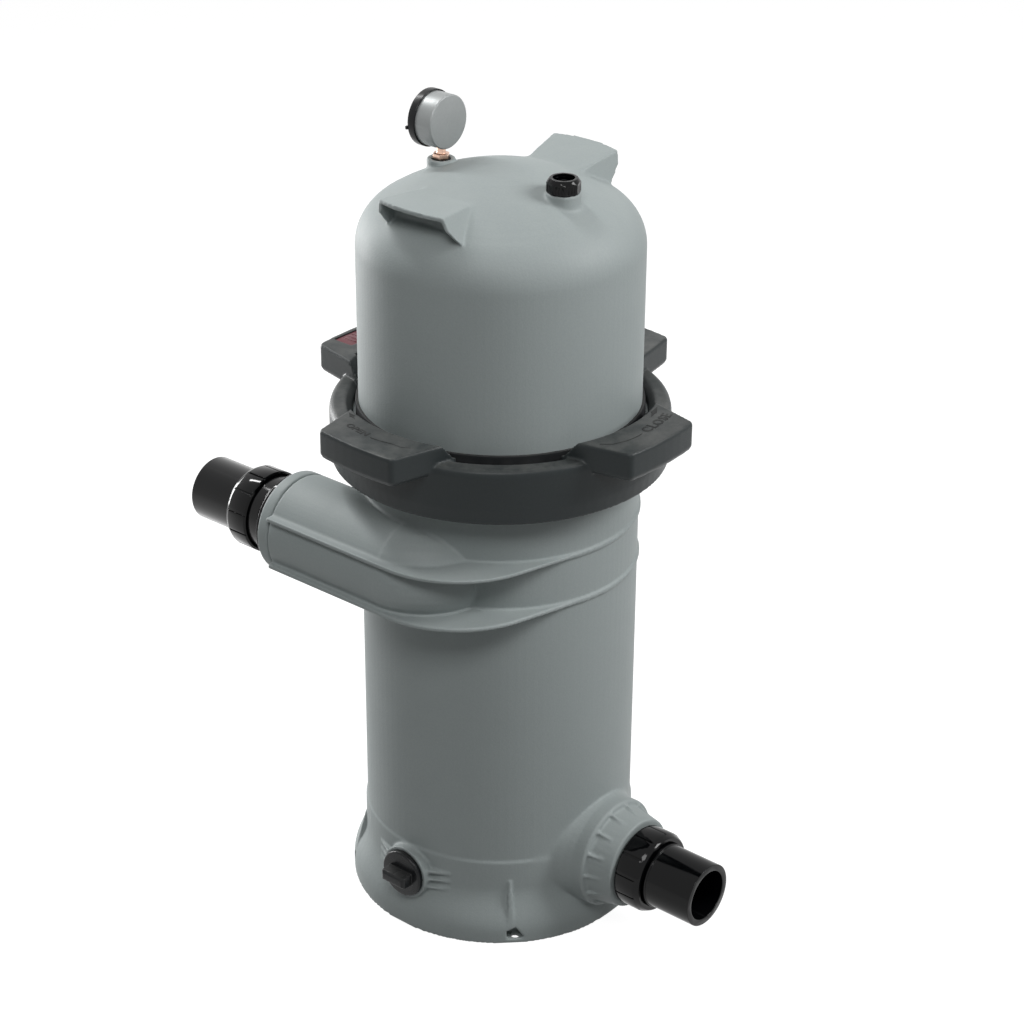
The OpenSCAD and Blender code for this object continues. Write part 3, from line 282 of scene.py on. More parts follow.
finishes = {  # each bump is its strength and its depth in metres
    "grey_plastic": {
        "colour": (0.278, 0.312, 0.311), "shader": {"Specular IOR Level": 0.38},
        "wearAndSheen": {"Patch Scale": 6.0, "Patch Depth": 0.04, "Edge Lift": 0.14, "Dust And Top Sheen": 0.04, "Roughness": 0.56,
                 "Roughness Spread": 0.12},
        "grain": {"Grain Scale": 620.0, "Pit Share": 0.45, "Swell": 0.5}, "grainBump": (0.32, 0.0004)},
    # the ring's dust share also makes its top faces lighter, as a painted sheen of the light on them
    "ring_plastic": {
        "colour": (0.020, 0.025, 0.026), "shader": {"Specular IOR Level": 0.22},
        "wearAndSheen": {"Patch Scale": 9.0, "Patch Depth": 0.08, "Edge Lift": 0.10, "Dust And Top Sheen": 0.10, "Roughness": 0.40,
                 "Roughness Spread": 0.12},
        "grain": {"Grain Scale": 1100.0, "Pit Share": 0.5, "Swell": 0.25}, "grainBump": (0.25, 0.0003)},
    "red_plastic": {
        "colour": (0.120, 0.006, 0.016), "shader": {"Specular IOR Level": 0.3},
        "wearAndSheen": {"Patch Scale": 30.0, "Patch Depth": 0.08, "Edge Lift": 0.05, "Dust And Top Sheen": 0.015, "Roughness": 0.30,
                 "Roughness Spread": 0.12},
        "scuffs": {"Scuff Scale": 300.0, "Scuffs": 0.2, "Smears": 0.15}, "scuffBump": (0.1, 0.0001)},
    "rubber": {
        "colour": (0.010, 0.011, 0.012), "shader": {"Specular IOR Level": 0.15},
        "wearAndSheen": {"Patch Scale": 40.0, "Patch Depth": 0.15, "Edge Lift": 0.04, "Dust And Top Sheen": 0.05, "Roughness": 0.72,
                 "Roughness Spread": 0.15},
        "grain": {"Grain Scale": 1800.0, "Pit Share": 0.3, "Swell": 0.2}, "grainBump": (0.3, 0.0002)},
    "pale_plastic": {
        "colour": (0.66, 0.66, 0.63), "shader": {"Specular IOR Level": 0.45},
        "wearAndSheen": {"Patch Scale": 12.0, "Patch Depth": 0.05, "Edge Lift": 0.10, "Dust And Top Sheen": 0.10, "Roughness": 0.46,
                 "Roughness Spread": 0.1},
        "grain": {"Grain Scale": 900.0, "Pit Share": 0.3, "Swell": 0.4}, "grainBump": (0.2, 0.0003)},
    "cap_plastic": {
        "colour": (0.032, 0.105, 0.245), "shader": {"Specular IOR Level": 0.4, "Subsurface Weight": 0.05},
        "wearAndSheen": {"Patch Scale": 14.0, "Patch Depth": 0.07, "Edge Lift": 0.10, "Dust And Top Sheen": 0.12, "Roughness": 0.5,
                 "Roughness Spread": 0.15},
        "grain": {"Grain Scale": 500.0, "Pit Share": 0.3, "Swell": 0.6}, "grainBump": (0.2, 0.0004)},
    "black_plastic": {
        "colour": (0.0010, 0.0012, 0.0016), "shader": {"Specular IOR Level": 0.19},
        "wearAndSheen": {"Patch Scale": 22.0, "Patch Depth": 0.10, "Edge Lift": 0.01, "Dust And Top Sheen": 0.002, "Roughness": 0.08,
                 "Roughness Spread": 0.06},
        "scuffs": {"Scuff Scale": 200.0, "Scuffs": 0.05, "Smears": 0.04}, "scuffBump": (0.03, 0.0001)},
    "plug_plastic": {
        "colour": (0.006, 0.007, 0.008), "shader": {"Specular IOR Level": 0.2},
        "wearAndSheen": {"Patch Scale": 40.0, "Patch Depth": 0.10, "Edge Lift": 0.08, "Dust And Top Sheen": 0.04, "Roughness": 0.26,
                 "Roughness Spread": 0.12},
        "scuffs": {"Scuff Scale": 260.0, "Scuffs": 0.2, "Smears": 0.12}, "scuffBump": (0.08, 0.0001)},
    "brass": {
        "colour": (0.80, 0.53, 0.41), "shader": {"Metallic": 1.0},
        "wearAndSheen": {"Patch Scale": 90.0, "Patch Depth": 0.16, "Edge Lift": 0.15, "Dust And Top Sheen": 0.03, "Roughness": 0.24,
                 "Roughness Spread": 0.16},
        "rings": {"Rings": 2400.0, "Stretch": (0.03, 0.03, 1.0)}, "ringBump": (0.12, 0.0001),
        "ringRoughness": 0.12},
    "case_metal": {
        "colour": (0.30, 0.315, 0.315), "shader": {"Metallic": 0.35, "Specular IOR Level": 0.4},
        "wearAndSheen": {"Patch Scale": 30.0, "Patch Depth": 0.05, "Edge Lift": 0.12, "Dust And Top Sheen": 0.04, "Roughness": 0.36,
                 "Roughness Spread": 0.08},
        "rings": {"Rings": 1500.0, "Stretch": (1.0, 0.03, 0.03)}, "ringBump": (0.06, 0.0001),
        "ringRoughness": 0.12},
    "bezel_plastic": {
        "colour": (0.008, 0.009, 0.010), "shader": {"Specular IOR Level": 0.2},
        "wearAndSheen": {"Patch Scale": 40.0, "Patch Depth": 0.08, "Edge Lift": 0.08, "Dust And Top Sheen": 0.04, "Roughness": 0.28,
                 "Roughness Spread": 0.1},
        "scuffs": {"Scuff Scale": 320.0, "Scuffs": 0.15, "Smears": 0.1}, "scuffBump": (0.06, 0.0001)},
    "dial_white": {
        "colour": (0.80, 0.80, 0.78), "shader": {"Specular IOR Level": 0.3},
        "wearAndSheen": {"Patch Scale": 50.0, "Patch Depth": 0.03, "Edge Lift": 0.0, "Dust And Top Sheen": 0.0, "Roughness": 0.5,
                 "Roughness Spread": 0.05},
        "grain": {"Grain Scale": 3000.0, "Pit Share": 0.2, "Swell": 0.1}, "grainBump": (0.05, 0.0001)},
    "pointer_black": {
        "colour": (0.012, 0.012, 0.012), "shader": {"Specular IOR Level": 0.4},
        "wearAndSheen": {"Patch Scale": 90.0, "Patch Depth": 0.05, "Edge Lift": 0.05, "Dust And Top Sheen": 0.0, "Roughness": 0.42,
                 "Roughness Spread": 0.1},
        "grain": {"Grain Scale": 3000.0, "Pit Share": 0.2, "Swell": 0.1}, "grainBump": (0.05, 0.0001)},
}
materials = {slot: makeMaterial(slot.replace("_", "-"), look) for slot, look in finishes.items()}


lens = {"shader": {"Transmission Weight": 1.0, "IOR": 1.47, "Metallic": 0.0},
        "wearAndSheen": {"Base": (0.97, 0.98, 0.98, 1), "Patch Depth": 0.01, "Edge Lift": 0.0, "Dust And Top Sheen": 0.0, "Roughness": 0.03,
                 "Roughness Spread": 0.03}}
felt = {"shader": {"Roughness": 0.92, "Specular IOR Level": 0.2, "Sheen Weight": 0.35, "Sheen Roughness": 0.5},
        "fibres": {"Base": (0.80, 0.80, 0.77, 1), "Loading": 0.22}, "bump": (0.5, 0.0004)}


def makeLens():
    material, tree, shader = newMaterial("lens-glass", lens["shader"])
    wearAndSheen = useGroup(tree, wearAndSheenGroup, lens["wearAndSheen"])
    tree.links.new(wearAndSheen.outputs["Colour"], shader.inputs["Base Color"])
    tree.links.new(wearAndSheen.outputs["Roughness"], shader.inputs["Roughness"])
    return material


def makeFelt():
    material, tree, shader = newMaterial("filter-felt", felt["shader"])
    fibres = useGroup(tree, feltGroup, felt["fibres"])
    strength, depth = felt["bump"]
    bump = put(tree, "ShaderNodeBump", None, {"Strength": strength, "Distance": depth})
    tree.links.new(fibres.outputs["Height"], bump.inputs["Height"])
    tree.links.new(fibres.outputs["Colour"], shader.inputs["Base Color"])
    tree.links.new(bump.outputs["Normal"], shader.inputs["Normal"])
    return material


materials["lens_glass"], materials["filter_media"] = makeLens(), makeFelt()
slotOf = {part["node"]: part["material_slot"] for part in frame["record"]["subparts"]}
print("materials made:", len(materials))

# mesh helpers


def addObject(name, mesh, slot):
    piece = bpy.data.objects.new(name, mesh)
    bpy.context.scene.collection.objects.link(piece)
    mesh.materials.clear()
    mesh.materials.append(materials[slot])
    return piece


weldDistance = 4e-6  # metres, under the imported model's own rounding


def cleanNode(node, flatAngle=0.3):
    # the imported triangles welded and, for an angle above zero, the flat ones joined into whole faces
    form = bmesh.new()
    form.from_mesh(nodes[node].data)
    bmesh.ops.remove_doubles(form, verts=form.verts, dist=weldDistance)
    if flatAngle:
        bmesh.ops.dissolve_limit(form, angle_limit=math.radians(flatAngle), verts=form.verts, edges=form.edges)
    return form


def smoothByAngle(mesh, angle):
    form = bmesh.new()
    form.from_mesh(mesh)
    for face in form.faces:
        face.smooth = True
    for edge in form.edges:
        if len(edge.link_faces) == 2:
            edge.smooth = edge.calc_face_angle(0) < math.radians(angle)
    form.to_mesh(mesh)
    form.free()


def bevelledCopy(node, name, width, segments, sharp=28, smooth=38):
    form = cleanNode(node)
    edges = [edge for edge in form.edges if len(edge.link_faces) == 2
             and edge.calc_face_angle(0) > math.radians(sharp)]
    bmesh.ops.bevel(form, geom=edges, offset=width * mm, offset_type="OFFSET", segments=segments, profile=0.5,
                    affect="EDGES", clamp_overlap=True)
    mesh = bpy.data.meshes.new(name)
    form.to_mesh(mesh)
    form.free()
    smoothByAngle(mesh, smooth)
    piece = addObject(name, mesh, slotOf[node])
    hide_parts(node)
    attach(piece, bodyOf[node])
    return piece


def remeshedCopy(node, name, voxel):
    form = cleanNode(node, 0)
    mesh = bpy.data.meshes.new(name)
    form.to_mesh(mesh)
    form.free()
    piece = addObject(name, mesh, slotOf[node])
    remesh = piece.modifiers.new("skin", "REMESH")
    remesh.mode, remesh.voxel_size, remesh.use_smooth_shade = "VOXEL", voxel * mm, True
    view = bpy.context.evaluated_depsgraph_get()
    piece.data = bpy.data.meshes.new_from_object(piece.evaluated_get(view))
    piece.modifiers.clear()
    piece.data.name = name
    return piece


def relax(piece, rounds, weight, back=0.0):
    # each point moves towards the middle of its neighbours, by the weight that its place gives;
    # a step back after each round keeps the form from shrinking
    mesh = piece.data
    count = len(mesh.vertices)
    co = np.empty(count * 3)
    mesh.vertices.foreach_get("co", co)
    co = co.reshape(-1, 3)
    ends = np.empty(len(mesh.edges) * 2, np.int64)
    mesh.edges.foreach_get("vertices", ends)
    ends = ends.reshape(-1, 2)
    degree = np.bincount(ends.ravel(), minlength=count)
    share = weight(co / mm)[:, None] if callable(weight) else weight
    for turn in range(rounds):
        for step in (1.0, -back) if back else (1.0,):
            total = np.stack([np.bincount(ends[:, 0], co[ends[:, 1], axis], count)
                              + np.bincount(ends[:, 1], co[ends[:, 0], axis], count) for axis in range(3)], 1)
            co += step * share * (total / degree[:, None] - co)
    mesh.vertices.foreach_set("co", co.ravel())
    mesh.update()


def fade(value, low, high):
    # 0 below low, 1 above high, and smooth between
    t = np.clip((value - low) / (high - low), 0, 1)
    return t * t * (3 - 2 * t)


def finishSkin(piece, node):
    # the skin stays within its node's box
    low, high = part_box(node)
    co = np.empty(len(piece.data.vertices) * 3)
    piece.data.vertices.foreach_get("co", co)
    piece.data.vertices.foreach_set("co", np.clip(co.reshape(-1, 3), low, high).ravel())
    for face in piece.data.polygons:
        face.use_smooth = True
    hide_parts(node)
    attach(piece, bodyOf[node])
    print(piece.name, len(piece.data.polygons), "faces")


# lower tank

skin = {"weight": 0.5, "back": 1.04}  # the share of the way that a point moves, and the step back after it
tank = {"voxel": 1.35, "relax": 2, "outletZ": 73, "filletRounds": 18,  # mm, and each pair is where a fade runs
        "filletStart": (57, 62), "filletEnd": (73, 81), "wallStart": (90, 105), "wallEnd": (142, 150)}


def tankBlend(place):
    # the fillet where the outlet's boss leaves the flared wall
    x, y, z = place.T
    fromOutlet = np.hypot(y, z - tank["outletZ"])
    around = fade(fromOutlet, *tank["filletStart"]) * (1 - fade(fromOutlet, *tank["filletEnd"]))
    return skin["weight"] * around * fade(x, *tank["wallStart"]) * (1 - fade(x, *tank["wallEnd"]))


tankSkin = remeshedCopy("lower_tank", "lowerTank", tank["voxel"])
relax(tankSkin, tank["relax"], skin["weight"], skin["back"])
relax(tankSkin, tank["filletRounds"], tankBlend)
finishSkin(tankSkin, "lower_tank")

# lid

lid = {"voxel": 1.3, "relax": 2, "bossX": 72, "rootRounds": 20, "bossShare": 0.4,  # mm, and fades as above
       "rootStart": (34, 46), "rootEnd": (66, 80), "rootReach": (50, 60), "rootUp": (715, 722),
       "bossIn": (10, 13), "bossOut": (20, 26), "bossUp": (715, 719), "bossTop": (731.5, 733.5)}


def lidBlend(place):
    # soft roots of the two lifting wings and of the small bosses
    x, y, z = place.T
    root = fade(np.abs(y), *lid["rootStart"]) * (1 - fade(np.abs(y), *lid["rootEnd"]))
    root *= (1 - fade(np.abs(x), *lid["rootReach"])) * fade(z, *lid["rootUp"])
    fromBoss = np.minimum(np.hypot(x - lid["bossX"], y), np.hypot(x + lid["bossX"], y))
    bosses = (1 - fade(fromBoss, *lid["bossOut"])) * fade(fromBoss, *lid["bossIn"])
    bosses *= (1 - fade(z, *lid["bossTop"])) * fade(z, *lid["bossUp"])
    return skin["weight"] * np.clip(root + lid["bossShare"] * bosses, 0, 1)


lidSkin = remeshedCopy("upper_housing", "upperHousing", lid["voxel"])
relax(lidSkin, lid["relax"], skin["weight"], skin["back"])
relax(lidSkin, lid["rootRounds"], lidBlend)
finishSkin(lidSkin, "upper_housing")

# lock ring

ring = {"voxel": 1.2, "relax": 2}
marks = {  # mm on the ring's top; a word has its radius, its two angles and its height
    "bottom": 532.4, "top": 533.3, "bolder": 0.28, "sizePerHeight": 1.42, "spacing": 1.08, "lineWidth": 0.9,
    "words": {"shutWord": ("CLOSE", 168.0, 0.3, 15.4, 9.4), "openWord": ("OPEN", 167.2, -104.7, -94.6, 6.8)},
    "arrows": {"shutArrow": ((145.0, 50.6), (154.0, 29.4), 5.6),
               "openArrow": ((-58.6, -143.0), (-46.0, -149.0), 5.4)},
    # the two lines are painted shade along the dish's edge on the handles' tops
    "lines": {"rightLine": [(169.8, -4.6), (170.3, -12.7), (168.7, -25.3), (163.6, -38.9), (154.7, -46.3)],
              "leftLine": [(-7.9, -169.3), (4.7, -168.3), (15.1, -166.2), (26.0, -166.0), (33.4, -161.7)]},
    "waist": (0.35, 0.55), "barb": 0.42}  # along an arrow from its tail, and the waist's share of its width
ringSkin = remeshedCopy("lock_ring", "lockRing", ring["voxel"])
relax(ringSkin, ring["relax"], skin["weight"], skin["back"])
finishSkin(ringSkin, "lock_ring")


def slab(form, outline, low, high):
    # a flat piece between two heights, from its outline's points in order
    bottom = [form.verts.new((x, y, low)) for x, y in outline]
    top = [form.verts.new((x, y, high)) for x, y in outline]
    form.faces.new(bottom[::-1])
    form.faces.new(top)
    for index in range(len(outline)):
        after = (index + 1) % len(outline)
        form.faces.new((bottom[index], bottom[after], top[after], top[index]))


def textPoints(word, size, spacing, depth, align, bolder=0.0):
    # the letters as a mesh in their own plane, in mm
    curve = bpy.data.curves.new("word", "FONT")
    curve.body, curve.size, curve.space_character, curve.extrude = word, size, spacing, depth
    curve.align_x, curve.align_y, curve.resolution_u, curve.offset = align, "CENTER", 3, bolder
    holder = bpy.data.objects.new("word", curve)
    bpy.context.scene.collection.objects.link(holder)
    mesh = bpy.data.meshes.new_from_object(holder.evaluated_get(bpy.context.evaluated_depsgraph_get()))
    bpy.data.objects.remove(holder)
    form = bmesh.new()
    form.from_mesh(mesh)
    bmesh.ops.remove_doubles(form, verts=form.verts, dist=1e-4)
    return form


def finishMark(form, name, slot, body):
    # a form drawn in mm becomes a piece of its own
    bmesh.ops.recalc_face_normals(form, faces=form.faces)
    bmesh.ops.scale(form, vec=(mm, mm, mm), verts=form.verts)
    mesh = bpy.data.meshes.new(name)
    form.to_mesh(mesh)
    form.free()
    piece = addObject(name, mesh, slot)
    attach(piece, body)
    return piece


def arcWord(name, word, radius, start, end, height):
    # a word along an arc of the ring, read from outside
    halfDepth = (marks["top"] - marks["bottom"]) / 2
    form = textPoints(word, height * marks["sizePerHeight"], marks["spacing"], halfDepth, "LEFT", marks["bolder"])
    width = max(vertex.co.x for vertex in form.verts)
    for vertex in form.verts:
        turn = math.radians(start + (end - start) * vertex.co.x / width)
        out = radius - vertex.co.y
        vertex.co = (out * math.cos(turn), out * math.sin(turn), marks["top"] - halfDepth + vertex.co.z)
    finishMark(form, name, "rubber", bodyOf["lock_ring"])


def grooveLine(name, points, width):
    # a narrow dark line through the points, on top of a handle, along the edge where the dish around the dome begins:
    # painted shade in that crease
    form = bmesh.new()
    line = [Vector(point) for point in points]
    sides = []
    for index, point in enumerate(line):
        ahead = line[min(index + 1, len(line) - 1)] - line[max(index - 1, 0)]
        across = Vector((-ahead.y, ahead.x)).normalized() * width / 2
        sides.append((point - across, point + across))
    outline = [pair[0] for pair in sides] + [pair[1] for pair in reversed(sides)]
    slab(form, outline, marks["bottom"], marks["top"])
    finishMark(form, name, "rubber", bodyOf["lock_ring"])


def arrowHead(name, tip, tail, width):
    # a small arrow that shows which way the ring turns
    form = bmesh.new()
    tip, tail = Vector(tip), Vector(tail)
    across = Vector((tip.y - tail.y, tail.x - tip.x)).normalized() * width / 2
    waistAt, waistShare = marks["waist"]
    waist, barb = tail.lerp(tip, waistAt), tail.lerp(tip, marks["barb"])
    slab(form, [tail, waist + across * waistShare, barb + across, tip, barb - across, waist - across * waistShare],
         marks["bottom"], marks["top"])
    finishMark(form, name, "rubber", bodyOf["lock_ring"])


for name, word in marks["words"].items():
    arcWord(name, *word)
for name, arrow in marks["arrows"].items():
    arrowHead(name, *arrow)
for name, points in marks["lines"].items():
    grooveLine(name, points, marks["lineWidth"])
print("ring marked")

# pleated sheet of the cartridge

pleat = {  # mm; a tip or valley has its share of a pitch, then its flat and its bend as shares of that, and a depth
    "count": 60, "rows": 36, "sheet": 1.0, "coreGap": 0.6, "boxGap": 0.1, "endGap": 0.2, "wander": 0.5, "seed": 11,
    "tip": (0.20, 0.6, 1.35, 1.6), "valley": (0.14, 0.5, 1.25, 1.2)}


def pleatedSheet():
    # folds from the core out to the node's box; each fold wanders a little between the caps that hold it
    low, high = (np.array(corner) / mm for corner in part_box("cartridge_media"))
    outR = high[0] - pleat["sheet"] / 2 - pleat["boxGap"]
    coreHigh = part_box("cartridge_core")[1][0] / mm
    inR = coreHigh + pleat["coreGap"] + pleat["sheet"] / 2
    pitch = 2 * math.pi / pleat["count"]
    rng = np.random.default_rng(pleat["seed"])
    sway = rng.uniform(-1, 1, (pleat["count"], 3))
    heights = np.linspace(low[2] + pleat["endGap"], high[2] - pleat["endGap"], pleat["rows"] + 1)
    tip, tipFlat, tipBend, tipDepth = pleat["tip"]
    valley, valleyFlat, valleyBend, valleyDepth = pleat["valley"]
    fold = []
    for middle, width, flat, bend, radius, bendRadius in (
            (0, tip * pitch, tipFlat, tipBend, outR, outR - tipDepth),
            (pitch / 2, valley * pitch, valleyFlat, valleyBend, inR, inR + valleyDepth)):
        fold += [(bendRadius, middle - bend * width), (radius, middle - flat * width),
                 (radius, middle + flat * width), (bendRadius, middle + bend * width)]
    plan = [(index, radius, index * pitch + turn) for index in range(pleat["count"]) for radius, turn in fold]
    form = bmesh.new()
    rows = []
    for level, z in enumerate(heights):
        along = level / pleat["rows"]
        held = math.sin(math.pi * along)
        row = []
        for index, radius, turn in plan:
            outer = (radius - inR) / (outR - inR)
            wave = sway[index, 0] * math.sin(2 * math.pi * along + 3 * sway[index, 1]) + 0.5 * sway[index, 2]
            angle = turn + pleat["wander"] * held * outer * wave / outR
            row.append(form.verts.new((radius * math.cos(angle), radius * math.sin(angle), z)))
        rows.append(row)
    around = len(plan)
    for lower, upper in zip(rows, rows[1:]):
        for index in range(around):
            after = (index + 1) % around
            form.faces.new((lower[index], lower[after], upper[after], upper[index]))
    piece = finishMark(form, "pleatedSheet", "filter_media", bodyOf["cartridge_media"])
    for face in piece.data.polygons:
        face.use_smooth = True
    thick = piece.modifiers.new("sheet", "SOLIDIFY")
    thick.thickness, thick.offset, thick.use_even_offset = pleat["sheet"] * mm, 0, True
    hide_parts("cartridge_media")


pleatedSheet()

# dial of the pressure gauge

dial = {"full": 60, "tickStep": 2, "figureStep": 10, "zeroAt": 135.0, "sweep": 270.0,  # degrees
        "longTick": (0.14, 0.6), "shortTick": (0.07, 0.3),  # length as a share of the radius, width in mm
        "tickEnd": 0.93, "figureAt": 0.66, "figure": 3.4, "ink": 0.06}


def dialTurn(step):
    return math.radians(dial["zeroAt"] - dial["sweep"] * step / dial["full"])


def markDial():
    # ticks and figures printed on the dial's face, drawn flat first and then stood up
    low, high = (np.array(corner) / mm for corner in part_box("gauge_dial"))
    radius = (high[2] - low[2]) / 2
    face, middle = low[0], (high[2] + low[2]) / 2
    form = bmesh.new()
    for step in range(0, dial["full"] + 1, dial["tickStep"]):
        turn = dialTurn(step)
        long, wide = dial["longTick"] if step % dial["figureStep"] == 0 else dial["shortTick"]
        outward = Vector((math.sin(turn), math.cos(turn)))
        across = Vector((math.cos(turn), -math.sin(turn))) * wide / 2
        end, start = outward * radius * dial["tickEnd"], outward * radius * (dial["tickEnd"] - long)
        slab(form, [start - across, end - across, end + across, start + across], 0, dial["ink"])
    for step in range(0, dial["full"] + 1, dial["figureStep"]):
        turn = dialTurn(step)
        word = textPoints(str(step), dial["figure"], 1.0, dial["ink"] / 2, "CENTER")
        mesh = bpy.data.meshes.new("figure")
        for vertex in word.verts:
            # the figure reads from the dial's side, where +y is on the left
            vertex.co = (math.sin(turn) * radius * dial["figureAt"] - vertex.co.x,
                         math.cos(turn) * radius * dial["figureAt"] + vertex.co.y, vertex.co.z + dial["ink"] / 2)
        word.to_mesh(mesh)
        form.from_mesh(mesh)
        word.free()
    for vertex in form.verts:
        side, up, out = vertex.co
        vertex.co = (face - out, side, middle + up)
    finishMark(form, "dialMarks", "pointer_black", bodyOf["gauge_dial"])


markDial()
print("dial marked")

# dark rubber-finished band that closes the gap between the lid's wall and the ring: a painted shadow for the shade in
# that deep gap

band = {"inner": 132.75, "outer": 135.4, "low": 505.5, "high": 520.2, "round": 1.1, "around": 160, "smooth": 40}


def dustBand():
    # a ring of one rounded section
    inner, outer, low, high, edge = (band[key] for key in ("inner", "outer", "low", "high", "round"))
    profile = [(inner, low), (outer, low), (outer, high - edge)]
    profile += [(outer - edge + edge * math.cos(turn), high - edge + edge * math.sin(turn))
                for turn in np.linspace(0.3, math.pi / 2, 5)]
    profile.append((inner, high))
    form = bmesh.new()
    rows = []
    for index in range(band["around"]):
        turn = 2 * math.pi * index / band["around"]
        rows.append([form.verts.new((radius * math.cos(turn), radius * math.sin(turn), z))
                     for radius, z in profile])
    for row, after in zip(rows, rows[1:] + rows[:1]):
        for index in range(len(profile)):
            up = (index + 1) % len(profile)
            form.faces.new((row[index], after[index], after[up], row[up]))
    # the band's dark finish is painted shade for the gap between lid and ring
    piece = finishMark(form, "dustBand", "rubber", bodyOf["upper_housing"])
    smoothByAngle(piece.data, band["smooth"])


dustBand()

# turned and moulded small parts

softened = {  # node: piece, bevel in mm, segments
    "outlet_nut": ("outletNut", 0.7, 3), "inlet_nut": ("inletNut", 0.7, 3),
    "outlet_tail": ("outletTail", 0.6, 3), "inlet_tail": ("inletTail", 0.6, 3),
    "outlet_collar": ("outletCollar", 0.5, 2), "inlet_collar": ("inletCollar", 0.8, 3),
    "inlet_end_ring": ("inletEndRing", 1.0, 3), "drain_plug": ("drainPlug", 0.9, 3),
    "gauge_case": ("gaugeCase", 0.35, 3), "gauge_bezel": ("gaugeBezel", 0.5, 3),
    "gauge_stem": ("gaugeStem", 0.4, 2),
    "air_valve_cap": ("airValveCap", 0.5, 2), "air_valve_stem": ("airValveStem", 0.5, 2),
    "lock_tab": ("lockTab", 0.8, 3), "cartridge_top_cap": ("cartridgeTopCap", 1.2, 3),
    "cartridge_bottom_cap": ("cartridgeBottomCap", 1.2, 3),
}
for node, (name, width, segments) in softened.items():
    piece = bevelledCopy(node, name, width, segments)
    print(name, len(piece.data.polygons), "faces")

lockTab = {"crown": 1.6, "underside": 4.8, "inset": 0.55, "legShare": 0.78}  # mm, and the legs' share of width


def easeLockTab():
    # the tab is drawn in a little below its crown, and its legs more, for room in the moulded well
    low, high = (np.array(corner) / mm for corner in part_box("lock_tab"))
    mesh = bpy.data.objects["lockTab"].data
    co = np.empty(len(mesh.vertices) * 3)
    mesh.vertices.foreach_get("co", co)
    co = co.reshape(-1, 3) / mm
    middle, half = (low + high) / 2, (high - low) / 2
    isLeg = co[:, 2] < high[2] - lockTab["underside"]
    below = (co[:, 2] < high[2] - lockTab["crown"]) & ~isLeg
    for axis in (0, 1):
        co[below, axis] = middle[axis] + (co[below, axis] - middle[axis]) * (1 - lockTab["inset"] / half[axis])
    for side in (-1, 1):
        leg = isLeg & (np.sign(co[:, 1] - middle[1]) == side)
        centre = (co[leg][:, :2].min(0) + co[leg][:, :2].max(0)) / 2
        co[np.ix_(leg, (0, 1))] = centre + (co[leg][:, :2] - centre) * lockTab["legShare"]
    mesh.vertices.foreach_set("co", (co * mm).ravel())
    mesh.update()


easeLockTab()

# every CAD node that stays takes its own finish
for node, thing in nodes.items():
    thing.data.materials.clear()
    thing.data.materials.append(materials[slotOf[node]])

# studio

studio = {  # mm and degrees; azimuth is counted from -y
    "target": (8.81, 7.39, 396.8), "azimuth": 40.0, "elevation": 26.87, "distance": 2464.0, "roll": 0.365,
    "sensor": 36, "lens": 90.66, "clip": (0.1, 40), "worldLevel": 0.13}
lamps = {  # place and aim in metres, width and height, watts
    "keyLamp": ((1.56, 0.9, 1.7), (0, 0, 0.45), (0.7, 1.0), 34),
    "frontLamp": ((0.85, -1.25, 2.1), (0, 0, 0.35), (1.0, 0.6), 18),
    "topLamp": ((-1.3, 0.05, 2.05), (0, 0, 0.2), (0.13, 1.2), 22),
    "rimLamp": ((-1.9, 0.05, 0.6), (0, 0, 0.35), (0.5, 1.2), 26)}
floorLook = {"size": 9.0, "cells": 8, "drop": 0.0004, "glow": 0.93, "shader": {
    "Base Color": (0.22, 0.22, 0.22, 1), "Roughness": 0.9, "Specular IOR Level": 0.1, "Emission Color": (1, 1, 1, 1)}}


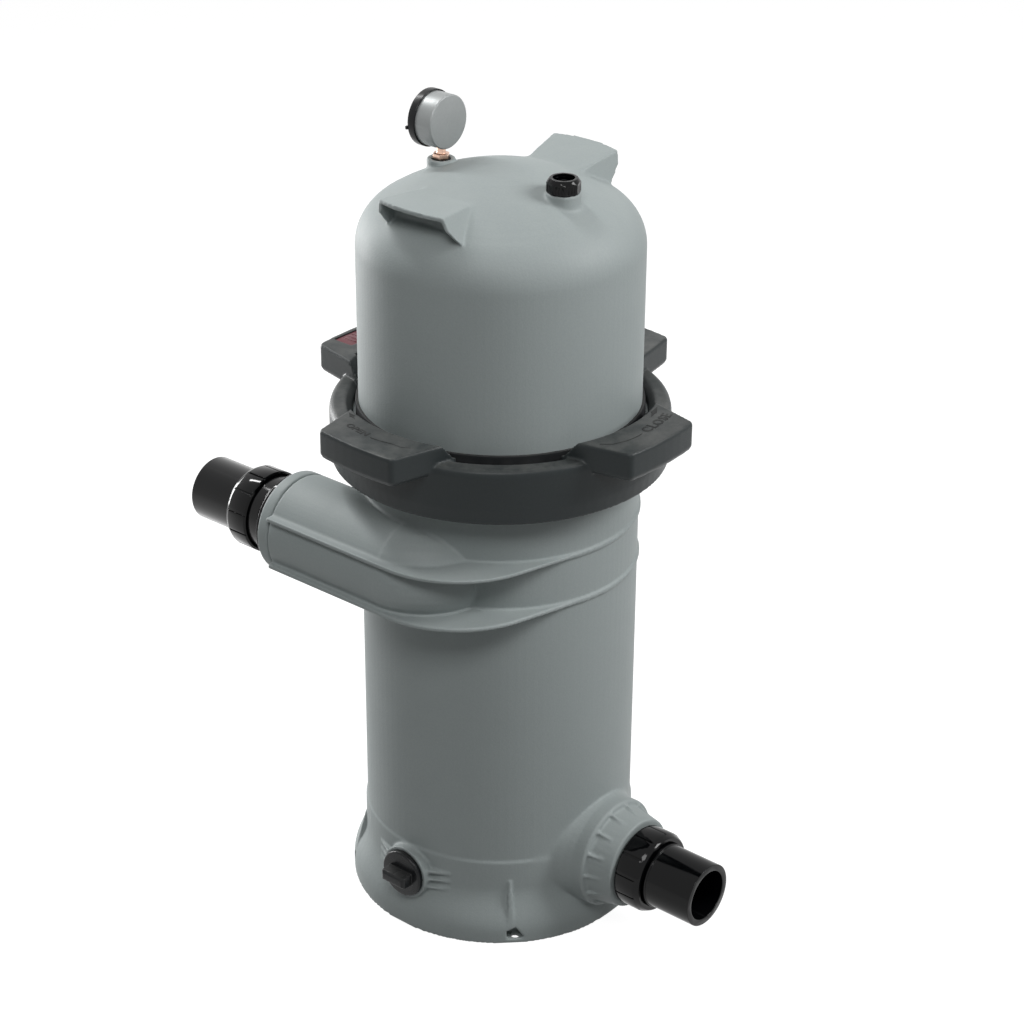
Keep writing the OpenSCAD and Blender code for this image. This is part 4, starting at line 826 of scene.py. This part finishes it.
def makeCamera():
    azimuth, elevation, roll = (math.radians(studio[key]) for key in ("azimuth", "elevation", "roll"))
    back = Vector((math.sin(azimuth) * math.cos(elevation), -math.cos(azimuth) * math.cos(elevation),
                   math.sin(elevation)))
    right = Vector((0, 0, 1)).cross(back).normalized()
    up = back.cross(right)
    turnedRight = right * math.cos(roll) + up * math.sin(roll)
    turnedUp = up * math.cos(roll) - right * math.sin(roll)
    camera = bpy.data.objects.new("camera", bpy.data.cameras.new("camera"))
    camera.data.sensor_width, camera.data.lens = studio["sensor"], studio["lens"]
    camera.data.clip_start, camera.data.clip_end = studio["clip"]
    place = (Vector(studio["target"]) + back * studio["distance"]) * mm
    facing = Matrix((turnedRight, turnedUp, back)).transposed().to_4x4()
    camera.matrix_world = Matrix.Translation(place) @ facing
    bpy.context.scene.collection.objects.link(camera)
    bpy.context.scene.camera = camera


def makeLamp(name, place, aim, size, power):
    data = bpy.data.lights.new(name, "AREA")
    data.shape, data.size, data.size_y, data.energy = "RECTANGLE", size[0], size[1], power
    lamp = bpy.data.objects.new(name, data)
    lamp.location = place
    lamp.rotation_euler = (Vector(aim) - Vector(place)).to_track_quat("-Z", "Y").to_euler()
    bpy.context.scene.collection.objects.link(lamp)


def seenDirectly(tree):
    # 1 for rays that come from the camera, a mirror or glass
    path = put(tree, "ShaderNodeLightPath")
    seen = math2(tree, "ADD", path.outputs["Is Camera Ray"], path.outputs["Is Glossy Ray"], True)
    return math2(tree, "ADD", seen, path.outputs["Is Transmission Ray"], True)


def makeWorld(level):
    # white where it is seen directly, and only a soft fill of this level on the object
    world = bpy.data.worlds.new("studio")
    bpy.context.scene.world = world
    world.use_nodes = True
    tree = world.node_tree
    back = tree.nodes["Background"]
    strength = math2(tree, "ADD", math2(tree, "MULTIPLY", seenDirectly(tree), 1.0 - level), level)
    tree.links.new(strength, back.inputs["Strength"])
    back.inputs["Color"].default_value = (1, 1, 1, 1)


def makeFloor():
    mesh = bpy.data.meshes.new("floor")
    form = bmesh.new()
    cells = floorLook["cells"]
    bmesh.ops.create_grid(form, x_segments=cells, y_segments=cells, size=floorLook["size"])
    form.to_mesh(mesh)
    form.free()
    floor = bpy.data.objects.new("floor", mesh)
    floor.location.z = -floorLook["drop"]
    bpy.context.scene.collection.objects.link(floor)
    material, tree, shader = newMaterial("floor-white", floorLook["shader"])
    glow = math2(tree, "MULTIPLY", seenDirectly(tree), floorLook["glow"])
    tree.links.new(glow, shader.inputs["Emission Strength"])
    mesh.materials.append(material)


makeCamera()
makeWorld(studio["worldLevel"])
makeFloor()
for name, lamp in lamps.items():
    makeLamp(name, *lamp)
bpy.context.scene.view_settings.view_transform = "Standard"
print("studio ready")
